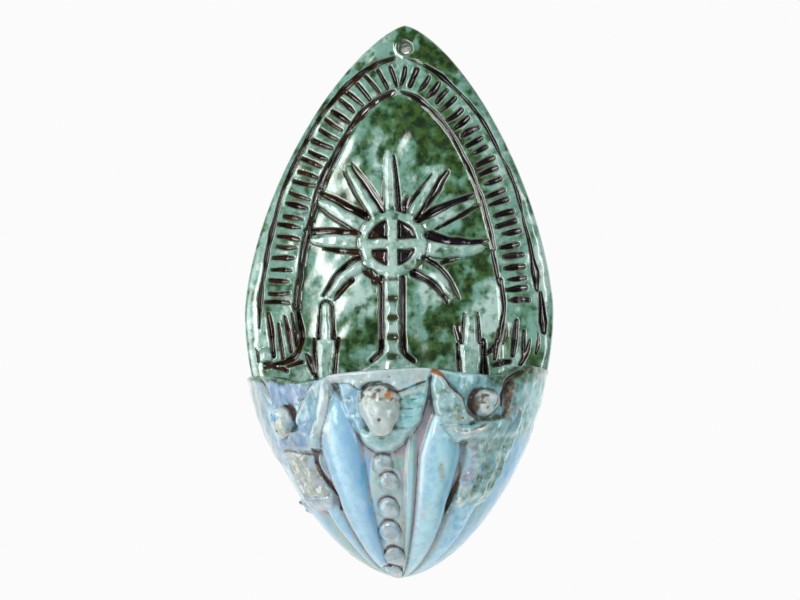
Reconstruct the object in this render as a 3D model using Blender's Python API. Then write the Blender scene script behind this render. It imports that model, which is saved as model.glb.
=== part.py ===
"""A wall-hung holy water font in one piece of glazed earthenware.

An almond-shaped plate with a flat back is carved with a fringed stole, a rayed monstrance and two
candles. A fluted half-shell bowl is luted to its lower half, with a winged cherub head, a row of
bosses and two angels pressed onto it. The soft clay joins are made by fusing overlapping solids.

Frame: +Z up, the front faces -Y, +X is the viewer's right. The origin is on the flat back, on the
centre line, just under the hanging hole. All sizes are metres, all turns around the bowl degrees.
"""

import bmesh
import bpy
import numpy as np
from mathutils import Matrix, Vector

NAME = "holy_water_font"

# The plate: an almond that leans a little, widest at WIDEST and blunter below it.
PLATE_TOP = 0.0300
PLATE_BOTTOM = -0.3125
WIDEST = -0.1500
HALF_WIDTH = 0.0960
THICKNESS = 0.0110
EDGE_ROUND = 0.0055
MIDDLE_LEAN = -0.0018
TOP_LEAN = 0.0045
BACK_PLAY = 0.0030  # the clay runs this far past the back plane before it is cut flat

# The hanging hole.
HOLE_X = 0.0036
HOLE_Z = 0.0148
HOLE_RADIUS = 0.0040

# The stole: a band between two cut arches, with cuts across it and fringed ends.
ARCH_X = -0.0011
OUTER_ARCH = (0.0860, 0.0090, -0.1600)  # half-width, apex height, height of its widest place
INNER_ARCH = (0.0645, -0.0125, -0.1670)
OUTER_CUT = (0.0034, 0.0022)  # width, depth
INNER_CUT = (0.0050, 0.0028)
STOLE_END = -0.1790
CROSS_CUTS = 50
CROSS_CUT_LOWEST = -0.1440
CROSS_CUT = (0.0030, 0.0020)
CROSS_CUT_LENGTH = 0.0130
FRINGE_CUTS = 4
FRINGE_PITCH = 0.0050
FRINGE_TOP = -0.1520
FRINGE_CUT = (0.0028, 0.0022)
FIELD_DROP = 0.0015

# The monstrance: a ring with a cross in it, nine rays, a stem and a spread foot.
SUN_X = -0.0047
SUN_Z = -0.1077
RING_OUTER = 0.0205
RING_INNER = 0.0152
CROSS_HALF = 0.0030
PIT_DEPTH = 0.0040
RAY_START = 0.0155
RAYS = (  # turn from upright, length from the ring's centre, half-widths at ring and tip, bow to the left
    (-3, 0.0586, 0.0038, 0.0027, 0.0),
    (33, 0.0530, 0.0034, 0.0024, 0.0),
    (63, 0.0574, 0.0040, 0.0030, 0.0),
    (93, 0.0576, 0.0045, 0.0028, 0.0),
    (133, 0.0510, 0.0038, 0.0028, 0.0042),
    (-129, 0.0515, 0.0036, 0.0026, -0.0034),
    (-86, 0.0520, 0.0046, 0.0040, 0.0),
    (-59, 0.0540, 0.0041, 0.0034, 0.0),
    (-31, 0.0564, 0.0036, 0.0026, 0.0),
)
STEM_HALF = 0.0052
STEM_LOWEST = -0.1950
FOOT_HALF = 0.0190
FOOT_TOP = -0.1680
FOOT_SPREAD = 0.0165
ISLAND_RISE = 0.0016
MOAT_WIDTH = 0.0042
MOAT_DEPTH = 0.0026

# The candles: centre, top of the flame end, top of the socket, half-widths of shaft and socket.
CANDLES = ((-0.0465, -0.1440, -0.1660, 0.0027, 0.0066), (0.0430, -0.1500, -0.1700, 0.0031, 0.0073))

# The bowl: half of a fluted shell, hollow and open at the top.
RIM_Z = -0.1885
RIM_DEPTH = 0.0790
TIP_DEPTH = 0.0120
WALL = 0.0070
CAVITY_BOTTOM = -0.2960
LOBE_EDGES = (0, 9, 15, 33, 52, 70, 90)
LOBE_HEIGHTS = (0.0015, 0.0020, 0.0050, 0.0050, 0.0045, 0.0030)
FLUTES_START = 0.0160
LIP_HEIGHT = 0.0090
LIP_PROUD = 0.0016

# The row of bosses down the middle: height of each, its lean to one side, its radius.
BOSSES = (
    (-0.2443, -0.0045, 0.0061),
    (-0.2549, -0.0015, 0.0061),
    (-0.2702, -0.0015, 0.0065),
    (-0.2842, -0.0008, 0.0065),
    (-0.2994, -0.0002, 0.0061),
    (-0.3088, -0.0022, 0.0045),
)

# The cherub's head.
CHERUB_X = -0.0033
CHERUB_Z = -0.2135
CHERUB_RADII = (0.0118, 0.0120, 0.0152)

VOXEL = 0.0010
TRIANGLES = 9000


def smooth(t):
    """A soft step: 0 up to t = 0, 1 from t = 1."""
    t = np.clip(t, 0.0, 1.0)
    return t * t * (3 - 2 * t)


def up_and_down(z):
    """How far z is from the widest place, as shares of the way to the top and to the bottom."""
    up = np.clip((z - WIDEST) / (PLATE_TOP - WIDEST), 0, 1)
    down = np.clip((WIDEST - z) / (WIDEST - PLATE_BOTTOM), 0, 1)
    return up, down


def half_width(z):
    """Half of the almond's width at height z."""
    up, down = up_and_down(z)
    return HALF_WIDTH * (1 - up**1.6) ** 0.7 * (1 - down**1.8) ** 0.6


def lean(z):
    """Where the middle of the almond is at height z."""
    up, down = up_and_down(z)
    return MIDDLE_LEAN * (1 - down**2) + TOP_LEAN * up**2


def front_depth(z):
    """How far the bowl's front stands from the wall at height z."""
    share = np.clip((z - PLATE_BOTTOM) / (RIM_Z - PLATE_BOTTOM), 0, 1)
    return TIP_DEPTH + (RIM_DEPTH - TIP_DEPTH) * (1 - (1 - share) ** 1.6) ** 0.75


# ---------------------------------------------------------------------------- carving on the plate


def arch_distance(x, z, arch):
    """Distance from a stole arch, outside positive. The arch is |x| = half (1 - s^2)^0.6, and runs
    straight down below its widest place."""
    half, apex, widest = arch
    height = apex - widest
    s = np.clip((z - widest) / height, 0, None)
    across = np.abs(x - ARCH_X) / half
    level = across ** (5 / 3) + s**2 - 1
    slope = np.hypot(5 / 3 * across ** (2 / 3) / half, 2 * s / height)
    return level / np.maximum(slope, 1e-6)


def middle_arch(count, lowest):
    """Points spaced evenly along the middle of the stole, and the direction across it at each."""
    half, apex, widest = (0.5 * (a + b) for a, b in zip(OUTER_ARCH, INNER_ARCH))
    start = np.arcsin((lowest - widest) / (apex - widest))
    turn = np.linspace(start, np.pi - start, 2001)
    x = ARCH_X + half * np.sign(np.cos(turn)) * np.abs(np.cos(turn)) ** 1.2
    z = widest + (apex - widest) * np.sin(turn)
    length = np.concatenate([[0], np.cumsum(np.hypot(np.diff(x), np.diff(z)))])
    even = np.linspace(0, length[-1], count)
    dx, dz = (np.interp(even, length, np.gradient(c)) for c in (x, z))
    size = np.hypot(dx, dz)
    return np.interp(even, length, x), np.interp(even, length, z), dz / size, -dx / size


def cut(distance, width, depth):
    """A round-bottomed tool cut this far away."""
    return -depth * np.clip(1 - (2 * distance / width) ** 2, 0, 1)


def line_distance(x, z, start, end):
    """Distance from the straight line between two points."""
    ax, az = end[0] - start[0], end[1] - start[1]
    t = np.clip(((x - start[0]) * ax + (z - start[1]) * az) / (ax * ax + az * az), 0, 1)
    return np.hypot(x - start[0] - t * ax, z - start[1] - t * az)


def ray_distance(x, z, turn, length, base, tip, bow):
    """Distance from a ray, inside negative: a finger with a rounded tip, bowed to one side."""
    dx, dz = np.sin(np.radians(turn)), np.cos(np.radians(turn))
    along = (x - SUN_X) * dx + (z - SUN_Z) * dz
    share = np.clip((along - RAY_START) / (length - RAY_START), 0, 1)
    across = np.abs((z - SUN_Z) * dx - (x - SUN_X) * dz - 4 * bow * share * (1 - share))
    half = (base + (tip - base) * share) * np.sqrt(1 - share**6)
    return np.maximum(across - half, np.maximum(along - length, RAY_START - along))


def sun_distance(x, z):
    """Distance from the monstrance's outline: ring, rays, stem and foot."""
    distance = np.hypot(x - SUN_X, z - SUN_Z) - RING_OUTER
    for ray in RAYS:
        distance = np.minimum(distance, ray_distance(x, z, *ray))
    spread = smooth((FOOT_TOP - z) / FOOT_SPREAD)
    half = STEM_HALF + (FOOT_HALF - STEM_HALF) * spread
    stem = np.maximum(np.abs(x - SUN_X) - half, np.maximum(z - SUN_Z, STEM_LOWEST - z))
    return np.minimum(distance, stem)


def candle_distance(x, z, candle):
    """Distance from a candle: a round-topped shaft in a socket that tapers downwards."""
    centre, top, socket_top, shaft_half, socket_half = candle
    away = np.abs(x - centre)
    shaft = np.where(z > top - shaft_half, np.hypot(away, z - top + shaft_half), away) - shaft_half
    taper = socket_half * (1 - 0.25 * np.clip((socket_top - z) / 0.02, 0, 1))
    socket = np.maximum(away - taper, z - socket_top)
    return np.minimum(np.maximum(shaft, socket_top - z), socket)


def island(distance, rise, moat):
    """A form left standing inside its outline, with a moat cut round it."""
    inside = rise * smooth(-distance / 0.0022)
    outside = cut(distance - 0.42 * moat, moat, MOAT_DEPTH)
    return np.where(distance < 0, inside + outside, outside)


def relief(x, z):
    """Height of the carved front over the plate's plain face."""
    outer = arch_distance(x, z, OUTER_ARCH)
    inner = arch_distance(x, z, INNER_ARCH)
    height = -FIELD_DROP * smooth(-inner / 0.004)
    carved = np.zeros_like(x)
    ends = smooth((z - STOLE_END) / 0.003)
    carved = np.minimum(carved, ends * cut(outer, *OUTER_CUT))
    carved = np.minimum(carved, ends * cut(inner, *INNER_CUT))
    for cx, cz, nx, nz in zip(*middle_arch(CROSS_CUTS, CROSS_CUT_LOWEST)):
        reach = CROSS_CUT_LENGTH / 2
        start, end = (cx - nx * reach, cz - nz * reach), (cx + nx * reach, cz + nz * reach)
        carved = np.minimum(carved, cut(line_distance(x, z, start, end), *CROSS_CUT))
    for side in (-1, 1):
        for k in range(FRINGE_CUTS):
            fx = ARCH_X + side * (INNER_ARCH[0] + FRINGE_PITCH * (k + 0.7))
            start, end = (fx, FRINGE_TOP - 0.002 * (k % 2)), (fx - side * 0.003, STOLE_END + 0.003)
            carved = np.minimum(carved, cut(line_distance(x, z, start, end), *FRINGE_CUT))
        start = (ARCH_X + side * (INNER_ARCH[0] - 0.001), STOLE_END + 0.001)
        end = (ARCH_X + side * OUTER_ARCH[0], STOLE_END - 0.002)
        carved = np.minimum(carved, cut(line_distance(x, z, start, end), *FRINGE_CUT))
    sun = sun_distance(x, z)
    from_sun = np.hypot(x - SUN_X, z - SUN_Z)
    moat = MOAT_WIDTH * (1.35 - 0.5 * smooth((from_sun - RING_OUTER) / 0.03))
    shapes = island(sun, ISLAND_RISE, moat)
    for candle in CANDLES:
        distance = candle_distance(x, z, candle)
        shapes = np.where(np.abs(shapes) > 1e-6, shapes, island(distance, ISLAND_RISE, MOAT_WIDTH))
    off_bars = np.minimum(np.abs(x - SUN_X), np.abs(z - SUN_Z)) - CROSS_HALF
    pit = smooth(np.minimum(off_bars, RING_INNER - from_sun) / 0.0015)
    return height + carved + shapes - PIT_DEPTH * pit


# ---------------------------------------------------------------------------- closed shapes


def grid(rows, columns):
    """Two parameters from 0 to 1 over a grid."""
    return np.meshgrid(np.linspace(0, 1, rows), np.linspace(0, 1, columns), indexing="ij")


def add_slab(clay, front, back):
    """Adds the closed body between two grids of points of the same size."""
    rows, columns = front.shape[:2]
    points = np.concatenate([front.reshape(-1, 3), back.reshape(-1, 3)])
    verts = [clay.verts.new(point) for point in points.tolist()]
    index = np.arange(rows * columns).reshape(rows, columns)
    a, b, c, d = index[:-1, :-1], index[1:, :-1], index[1:, 1:], index[:-1, 1:]
    near = np.stack([a, b, c, d], axis=-1).reshape(-1, 4)
    rim = np.concatenate([index[0, :-1], index[:-1, -1], index[-1, :0:-1], index[:0:-1, 0]])
    turned = np.roll(rim, -1)
    back_of = rows * columns
    sides = np.stack([rim, turned, turned + back_of, rim + back_of], axis=-1)
    for face in np.concatenate([near, near[:, ::-1] + back_of, sides]).tolist():
        clay.faces.new([verts[k] for k in face])


def add_ball(clay, centre, radii):
    """Adds a ball of clay with its own radius each way."""
    place = Matrix.Translation(Vector(centre)) @ Matrix.Diagonal((*radii, 1.0))
    bmesh.ops.create_uvsphere(clay, u_segments=24, v_segments=16, radius=1.0, matrix=place)


def on_bowl(turn, z, lift):
    """The point that stands this far clear of the bowl's unfluted face, at a turn from the front."""
    angle = np.radians(turn)
    x = lean(z) + (half_width(z) + lift) * np.sin(angle)
    y = -(front_depth(z) + lift) * np.cos(angle)
    return np.stack(np.broadcast_arrays(x, y, z), axis=-1)


def add_plate(clay):
    """The almond: carved in front, rolled over at its edge, and flat behind."""
    up, across = grid(300, 170)
    middle = 0.5 * (PLATE_TOP + PLATE_BOTTOM)
    z = middle + (PLATE_TOP - middle) * 0.9999 * np.sin(np.pi * (up - 0.5))
    side = np.sin(0.5 * np.pi * (2 * across - 1))
    width = half_width(z)
    x = lean(z) + width * side
    slope = np.gradient(width[:, 0], z[:, 0])[:, None]
    from_edge = width * (1 - np.abs(side)) / np.hypot(1, slope)
    roll = np.sqrt(np.clip(1 - np.clip(1 - from_edge / EDGE_ROUND, 0, 1) ** 2, 0, 1))
    above_rim = smooth((z - RIM_Z + 0.012) / 0.004)
    front = -(THICKNESS - EDGE_ROUND) - EDGE_ROUND * roll - relief(x, z) * above_rim * roll
    back = np.full_like(x, BACK_PLAY)
    add_slab(clay, np.stack([x, front, z], axis=-1), np.stack([x, back, z], axis=-1))


def lobes(turn, below_rim, width):
    """How far the gadroons stand out at a turn from the front: half-rounds between their edges,
    which grow out of the plain lip and close up towards the tip."""
    edges = np.array(LOBE_EDGES, float)
    place = np.clip(np.abs(turn), 0, 89.99)
    lobe = np.searchsorted(edges, place, side="right") - 1
    low = np.where(lobe == 0, -edges[1], edges[lobe])
    share = (place - low) / (edges[lobe + 1] - low)
    round_top = np.sqrt(np.clip(1 - (2 * share - 1) ** 2, 0, 1))
    grown = smooth(below_rim / FLUTES_START) * np.clip(width / 0.05, 0, 1)
    return np.array(LOBE_HEIGHTS)[lobe] * (round_top - 0.6) * grown


def add_bowl(clay):
    """Half of a shell: fluted outside, smooth inside, with a thick plain lip."""
    across, down = grid(181, 90)
    turn = 184 * (across - 0.5)
    eased = np.sin(0.5 * np.pi * down)
    z = RIM_Z + (PLATE_BOTTOM * 0.9999 - RIM_Z) * eased
    below = RIM_Z - z
    lip = LIP_PROUD * smooth(1 - below / LIP_HEIGHT) * smooth((32 - np.abs(turn)) / 8)
    outside = on_bowl(turn, z, lobes(turn, below, half_width(z)) + lip)
    z_in = RIM_Z + (CAVITY_BOTTOM - RIM_Z) * eased
    closing = 1 - np.sqrt(np.clip(1 - ((RIM_Z - z_in) / (RIM_Z - CAVITY_BOTTOM)) ** 4, 0, 1))
    thick = WALL + closing * (np.minimum(half_width(z_in), front_depth(z_in)) - WALL)
    inside = on_bowl(turn, z_in, -thick)
    add_slab(clay, inside, outside)


def add_leaf(clay, root, tip, width, thickness, bend=0.0, hollow=0.0):
    """A wing or a sleeve laid on the bowl, from a root to a tip, each given as its turn, height and
    clearance. Its outline is a leaf, its section a lens, bent sideways and hollowed along its middle."""
    along, across = grid(25, 11)
    arc = np.radians(1.0) * RIM_DEPTH
    start, end = np.array(root) * (arc, 1, 1), np.array(tip) * (arc, 1, 1)
    line = start + (end - start) * along[..., None]
    way = (end - start)[:2] / np.hypot(*(end - start)[:2])
    side = 2 * across - 1
    half = 0.5 * width * np.sin(np.pi * (0.06 + 0.92 * along)) ** 0.6
    off = half * side + bend * np.sin(np.pi * along)
    turn = (line[..., 0] - way[1] * off) / arc
    z = line[..., 1] + way[0] * off
    lens = 0.5 * thickness * np.sqrt(1 - 0.85 * side**2)
    dip = hollow * (1 - side**2)
    front = on_bowl(turn, z, line[..., 2] + lens - dip)
    back = on_bowl(turn, z, line[..., 2] - lens - dip)
    add_slab(clay, back, front)


def add_robe(clay, top, bottom, widths, thickness, folds):
    """A robe that falls straight, wider at one end, with upright folds in its front."""
    down, across = grid(25, 31)
    arc = np.radians(1.0) * RIM_DEPTH
    start, end = np.array(top), np.array(bottom)
    line = start + (end - start) * down[..., None]
    side = 2 * across - 1
    half = 0.5 * (widths[0] + (widths[1] - widths[0]) * down)
    turn = line[..., 0] + half * side / arc
    section = np.sqrt(1 - 0.9 * side**2) * (0.75 + 0.25 * smooth(down * 5))
    creases = 0.0009 * np.cos(np.pi * folds * side) * smooth(down * 4)
    front = on_bowl(turn, line[..., 1], line[..., 2] + 0.5 * thickness * section + creases)
    back = on_bowl(turn, line[..., 1], line[..., 2] - 0.5 * thickness * section)
    add_slab(clay, front, back)


def add_ball_on_bowl(clay, turn, z, lift, radii):
    """A ball of clay whose centre stands this far clear of the bowl."""
    add_ball(clay, on_bowl(turn, np.float64(z), lift), radii)


def turn_of(x, z):
    """The turn from the front at which the bowl's face passes this x at height z."""
    return float(np.degrees(np.arcsin((x - lean(z)) / half_width(z))))


def add_cherub(clay):
    """The cherub: an egg of a head under the lip, two short wings, and a collar like a crescent."""
    centre = turn_of(CHERUB_X, CHERUB_Z)
    add_ball_on_bowl(clay, centre, CHERUB_Z, 0.0030, CHERUB_RADII)
    add_ball_on_bowl(clay, centre, CHERUB_Z - 0.0050, 0.0148, (0.0022, 0.0022, 0.0028))
    for side in (-1, 1):
        add_ball_on_bowl(clay, centre + 4 * side, CHERUB_Z - 0.0075, 0.0095, (0.0048, 0.0040, 0.0046))
    add_ball_on_bowl(clay, centre, CHERUB_Z - 0.0125, 0.0090, (0.0040, 0.0040, 0.0028))
    add_leaf(clay, (centre - 7, -0.2290, 0.0020), (-20.5, -0.1945, 0.0035), 0.0150, 0.0060, 0.0020)
    add_leaf(clay, (centre + 6, -0.2350, 0.0020), (17.0, -0.1930, 0.0035), 0.0230, 0.0060, -0.0030)
    add_leaf(clay, (centre - 12, -0.2290, 0.0020), (centre + 13, -0.2290, 0.0020), 0.0130, 0.0070, -0.0050)


def add_bosses(clay):
    """The row of bosses down the middle strip."""
    for z, x, radius in BOSSES:
        add_ball_on_bowl(clay, turn_of(x, z), z, 0.0010, (radius, radius * 0.95, radius))


def add_left_angel(clay):
    """The angel on the viewer's left: head, cupped inner wing, outer wing, arms, robe and feet."""
    add_ball_on_bowl(clay, -44.5, -0.2180, 0.0055, (0.0078, 0.0078, 0.0084))
    add_leaf(clay, (-37.0, -0.2330, 0.0045), (-25.0, -0.1935, 0.0040), 0.0230, 0.0060, 0.0035, 0.0025)
    add_leaf(clay, (-64.0, -0.2330, 0.0030), (-73.0, -0.1960, 0.0015), 0.0150, 0.0060, 0.0020)
    add_leaf(clay, (-57.0, -0.2310, 0.0060), (-27.0, -0.2240, 0.0060), 0.0130, 0.0100, -0.0030)
    add_robe(clay, (-44.0, -0.2340, 0.0050), (-44.0, -0.2700, 0.0058), (0.0310, 0.0340), 0.0090, 3)
    for turn in (-39.0, -50.0):
        add_ball_on_bowl(clay, turn, -0.2680, 0.0060, (0.0060, 0.0052, 0.0036))
    add_ball_on_bowl(clay, -69.0, -0.2680, 0.0030, (0.0040, 0.0045, 0.0028))


def add_right_angel(clay):
    """The angel on the viewer's right: head, folded inner wing, outer wing, arms, robe and feet."""
    add_ball_on_bowl(clay, 39.5, -0.2072, 0.0050, (0.0072, 0.0072, 0.0078))
    add_leaf(clay, (34.0, -0.2200, 0.0050), (18.5, -0.1915, 0.0045), 0.0190, 0.0060, 0.0010, 0.0010)
    add_leaf(clay, (60.0, -0.2400, 0.0020), (71.0, -0.1960, 0.0015), 0.0220, 0.0060, 0.0020, 0.0010)
    add_leaf(clay, (23.0, -0.2240, 0.0055), (54.0, -0.2210, 0.0050), 0.0120, 0.0090, 0.0040)
    add_leaf(clay, (48.0, -0.2240, 0.0055), (59.5, -0.2090, 0.0050), 0.0110, 0.0080)
    add_robe(clay, (48.0, -0.2240, 0.0045), (48.5, -0.2685, 0.0045), (0.0350, 0.0300), 0.0090, 4)
    for turn in (41.0, 52.0):
        add_ball_on_bowl(clay, turn, -0.2670, 0.0050, (0.0046, 0.0046, 0.0036))


# ---------------------------------------------------------------------------- one solid


def modelled():
    """Every lump of clay, still as overlapping bodies in one mesh."""
    clay = bmesh.new()
    add_cherub(clay)
    add_bosses(clay)
    add_left_angel(clay)
    add_right_angel(clay)
    add_bowl(clay)
    add_plate(clay)
    mesh = bpy.data.meshes.new("clay")
    clay.to_mesh(mesh)
    clay.free()
    return mesh


def fused(mesh):
    """The lumps as one skin, as soft clay joins: an object's mesh read back after a voxel Remesh."""
    rough = bpy.data.objects.new("clay", mesh)
    bpy.context.scene.collection.objects.link(rough)
    remesh = rough.modifiers.new("fuse", "REMESH")
    remesh.mode = "VOXEL"
    remesh.voxel_size = VOXEL
    graph = bpy.context.evaluated_depsgraph_get()
    skin = bpy.data.meshes.new_from_object(rough.evaluated_get(graph))
    bpy.data.objects.remove(rough)
    return skin


def cutter(name, mesh):
    """A helper that a Boolean takes away."""
    helper = bpy.data.objects.new(name, mesh)
    helper.hide_render = True
    helper.display_type = "WIRE"
    bpy.context.scene.collection.objects.link(helper)
    return helper


def wall_block():
    """Everything behind the wall plane."""
    block = bmesh.new()
    place = Matrix.Translation((0, 0.05, -0.14)) @ Matrix.Diagonal((0.4, 0.1, 0.6, 1))
    bmesh.ops.create_cube(block, size=1.0, matrix=place)
    mesh = bpy.data.meshes.new("wall")
    block.to_mesh(mesh)
    block.free()
    return cutter("wall_cutter", mesh)


def nail_rod():
    """The hanging hole, straight through."""
    rod = bmesh.new()
    turned = Matrix.Rotation(np.pi / 2, 4, "X")
    place = Matrix.Translation((HOLE_X, 0, HOLE_Z)) @ turned
    bmesh.ops.create_cone(
        rod, cap_ends=True, segments=20, radius1=HOLE_RADIUS, radius2=HOLE_RADIUS, depth=0.06, matrix=place
    )
    mesh = bpy.data.meshes.new("nail")
    rod.to_mesh(mesh)
    rod.free()
    return cutter("nail_cutter", mesh)


def glaze():
    """Copper-green and sky-blue glaze, averaged to one colour."""
    material = bpy.data.materials.new("glaze")
    material.use_nodes = True
    shader = material.node_tree.nodes["Principled BSDF"]
    shader.inputs["Base Color"].default_value = (0.23, 0.38, 0.36, 1.0)
    shader.inputs["Roughness"].default_value = 0.16
    shader.inputs["Metallic"].default_value = 0.0
    return material


def main():
    for old in list(bpy.data.objects):
        bpy.data.objects.remove(old)
    skin = fused(modelled())
    skin.name = NAME
    font = bpy.data.objects.new(NAME, skin)
    bpy.context.scene.collection.objects.link(font)
    skin.materials.clear()
    skin.materials.append(glaze())
    skin.calc_loop_triangles()
    thin = font.modifiers.new("fewer faces", "DECIMATE")
    thin.ratio = TRIANGLES / len(skin.loop_triangles)
    for helper in (wall_block(), nail_rod()):
        away = font.modifiers.new(helper.name, "BOOLEAN")
        away.operation = "DIFFERENCE"
        away.solver = "EXACT"
        away.object = helper


main()
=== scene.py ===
"""The looks of a wall-hung holy water font: carved copper-green plate, blue fluted bowl with figures.

Two pieces stand for the one fired body: the plate, whose carved front is worked out as a height over a
grid, and the bowl, whose fluting, lip, cherub, bosses and angels are a relief on one closed skin.
Shapes are worked out in millimetres, and mesh_object turns them into metres. Heights count up from the
mount point, and turns go round the bowl in degrees, from its middle towards the right.
"""

import functools
import math

import bpy
import numpy as np
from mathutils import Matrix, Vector


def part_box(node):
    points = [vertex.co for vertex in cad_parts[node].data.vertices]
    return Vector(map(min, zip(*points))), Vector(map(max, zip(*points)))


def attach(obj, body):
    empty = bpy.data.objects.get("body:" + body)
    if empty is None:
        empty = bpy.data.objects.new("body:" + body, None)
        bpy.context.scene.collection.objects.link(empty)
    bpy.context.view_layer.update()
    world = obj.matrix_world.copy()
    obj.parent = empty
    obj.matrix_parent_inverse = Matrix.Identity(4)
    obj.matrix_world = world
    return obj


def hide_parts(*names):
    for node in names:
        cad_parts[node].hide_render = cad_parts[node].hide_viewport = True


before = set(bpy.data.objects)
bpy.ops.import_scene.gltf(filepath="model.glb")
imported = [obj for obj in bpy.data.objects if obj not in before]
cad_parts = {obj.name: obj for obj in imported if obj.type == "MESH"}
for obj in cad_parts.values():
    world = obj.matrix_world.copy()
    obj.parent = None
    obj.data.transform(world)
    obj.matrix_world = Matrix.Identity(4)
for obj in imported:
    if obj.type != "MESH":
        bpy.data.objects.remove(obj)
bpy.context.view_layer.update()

NODE = "holy_water_font"
MM = 0.001
LOW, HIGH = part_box(NODE)

# ------------------------------------------------------------------ measures of the plate

PLATE_TOP = HIGH.z / MM
PLATE_BOTTOM = -312.5
WIDEST = -150
HALF_WIDTH = 96
THICKNESS = 11
EDGE_ROUND = 5.0
EDGE_WIDE = 10.5
BACK_INSET = 1.2
MIDDLE_LEAN = -1.8
TOP_LEAN = 4.5

HOLE_X = 3.6
HOLE_Z = 14.8
HOLE_RADIUS = 3.2
HOLE_FALL = 3.4
HOLE_RIM = 0.5
HOLE_SINK = 1.6

ARCH_X = -1.1
OUTER_ARCH = (86, 9, -160)
INNER_ARCH = (64.5, -12.5, -167)
CROSS_CUTS = 50
CROSS_CUT_LOWEST = -144
KNOB_X = -83.5
KNOB_Z = -176.5
KNOB_RADIUS = 4.8
KNOB_RISE = 2.6

# How far the field and the raised forms lie below the plain face, and how much further at their left end.
FIELD_DROP = 1.9
FIELD_FALL = 3.2
FORM_DROP = 1.1
FORM_FALL = 2.4
FIELD_BOTTOM = -180

SUN_X = -4.7
SUN_Z = -107.7
RING_OUTER = 20.3
RING_INNER = 15.4
CROSS_HALF = 2.8
STEM_HALF = 5.2
PIT_DEPTH = 3.8
SEAM_DEPTH = 0.45
STEM_X = SUN_X - 0.2
BEAD_Z = -147.4
BEAD_PITCH = 12.1
BEAD_RISE = 1.1
SOCKET_HEIGHT = 22

ROW_PITCH = 0.56
FRONT_COLUMNS = 352
BACK_COLUMNS = 14
DRILL_SIDES = 40

# ------------------------------------------------------------------ measures of the bowl

RIM_Z = -188.5
RIM_DEPTH = 79
TIP_DEPTH = 12
WALL = 7
CAVITY_BOTTOM = -296
SWEEP = 184
BOWL_GRID = (540, 250)
MOST_TRIANGLES = 195000

# The plate is plain from here down, where the bowl hides it.
CARVING_BOTTOM = RIM_Z - 12

# The rim: turn and height. It dips over the left angel and climbs where green glaze ran over it.
RIM = (
    *((-92, -188), (-70, -190), (-52, -191.5), (-38, -195), (-27, -194.5), (-18, -191.5), (0, -189.2)),
    *((15, -188.2), (30, -190.5), (43, -191.5), (51, -189.5), (58, -185.5), (70, -185), (92, -186)),
)

# The lower edge of the thick lip over the cherub.
LIP = (
    *((-23, -194.5), (-20, -197), (-12.5, -196.5), (-8.8, -200.5), (-5.5, -197.5), (-1, -196.8)),
    *((3, -200.2), (5.5, -201.5), (10, -198.5), (15, -195.5), (18, -192)),
)

# Gadroons round the bowl: from turn, to turn, top, how far each stands out.
LOBES = (
    (-93, -70, -150, 0.6),
    (-70, -45, -190, 2.4),
    (-44.5, -31.8, -200, 3.4),
    (-31.0, -10.6, -199, 6.2),
    (-10.0, 7.8, -226, 1.6),
    (8.2, 13.8, -214, 2.2),
    (14.4, 33.6, -206, 6.2),
    (34.6, 56, -190, 4.2),
    (56.5, 94, -150, 0.5),
)


# ------------------------------------------------------------------ small tools


def smooth(t):
    """A soft step: 0 up to t = 0, 1 from t = 1."""
    t = np.clip(t, 0.0, 1.0)
    return t * t * (3 - 2 * t)


def between(value, low, high):
    """A soft step from 0 at low to 1 at high."""
    return smooth((value - low) / (high - low))


def wander(x, z, size, seed):
    """A slow uneven swell between about -1 and 1: nine sine waves of nearly one size, each in a direction of
    its own in space."""
    rng = np.random.default_rng(seed)
    total = np.zeros(np.broadcast(x, z).shape)
    for _ in range(9):
        way = rng.normal(size=3)
        way *= rng.uniform(0.6, 1.5) * 2 * np.pi / size / np.linalg.norm(way)
        total += np.sin(way[0] * x + way[1] * z + rng.uniform(0, 2 * np.pi))
    return total / 3.6


def blurred(layer, reach):
    """The layer averaged over a square of points, by running sums."""
    padded = np.pad(layer, ((reach + 1, reach), (reach + 1, reach)), mode="edge")
    sums = padded.cumsum(axis=0).cumsum(axis=1)
    size = 2 * reach + 1
    return (sums[size:, size:] - sums[:-size, size:] - sums[size:, :-size] + sums[:-size, :-size]) / size**2


def spline(points, count):
    """A smooth curve through a few points, spaced evenly between each two: cubic, its slope at each point
    that of the line between the neighbours."""
    points = np.array(points, float)
    slopes = np.gradient(points, axis=0)
    at = np.linspace(0, len(points) - 1, count)
    k = np.minimum(at.astype(int), len(points) - 2)
    t = (at - k)[:, None]
    start, end = points[k], points[k + 1]
    bend = (1 - t) * (slopes[k] - (end - start)) - t * (slopes[k + 1] - (end - start))
    return start + (end - start) * t + t * (1 - t) * bend


def nearest(path, x, z):
    """Each point's distance from a path, the place along it in points from its start, and the side of it
    that the point lies on: 1 for the right, -1 for the left."""
    best, place, side = np.full(x.shape, np.inf), np.zeros(x.shape), np.ones(x.shape)
    for k, (start, end) in enumerate(zip(path[:-1], path[1:])):
        (ax, az), px, pz = end - start, x - start[0], z - start[1]
        t = np.clip((px * ax + pz * az) / (ax * ax + az * az), 0, 1)
        away = np.hypot(px - t * ax, pz - t * az)
        closer = away < best
        best = np.where(closer, away, best)
        place = np.where(closer, k + t, place)
        side = np.where(closer, np.sign(px * az - pz * ax), side)
    return best, place, side


def ring_through(points, steps=7):
    """A smooth closed curve through a few points."""
    loop = np.concatenate([points[-2:], points, points[:3]])
    curve = spline(loop, (len(loop) - 1) * steps + 1)
    return curve[2 * steps : (2 + len(points)) * steps]


def grid(rows, columns):
    """Two parameters from 0 to 1 over a grid."""
    return np.meshgrid(np.linspace(0, 1, rows), np.linspace(0, 1, columns), indexing="ij")


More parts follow.
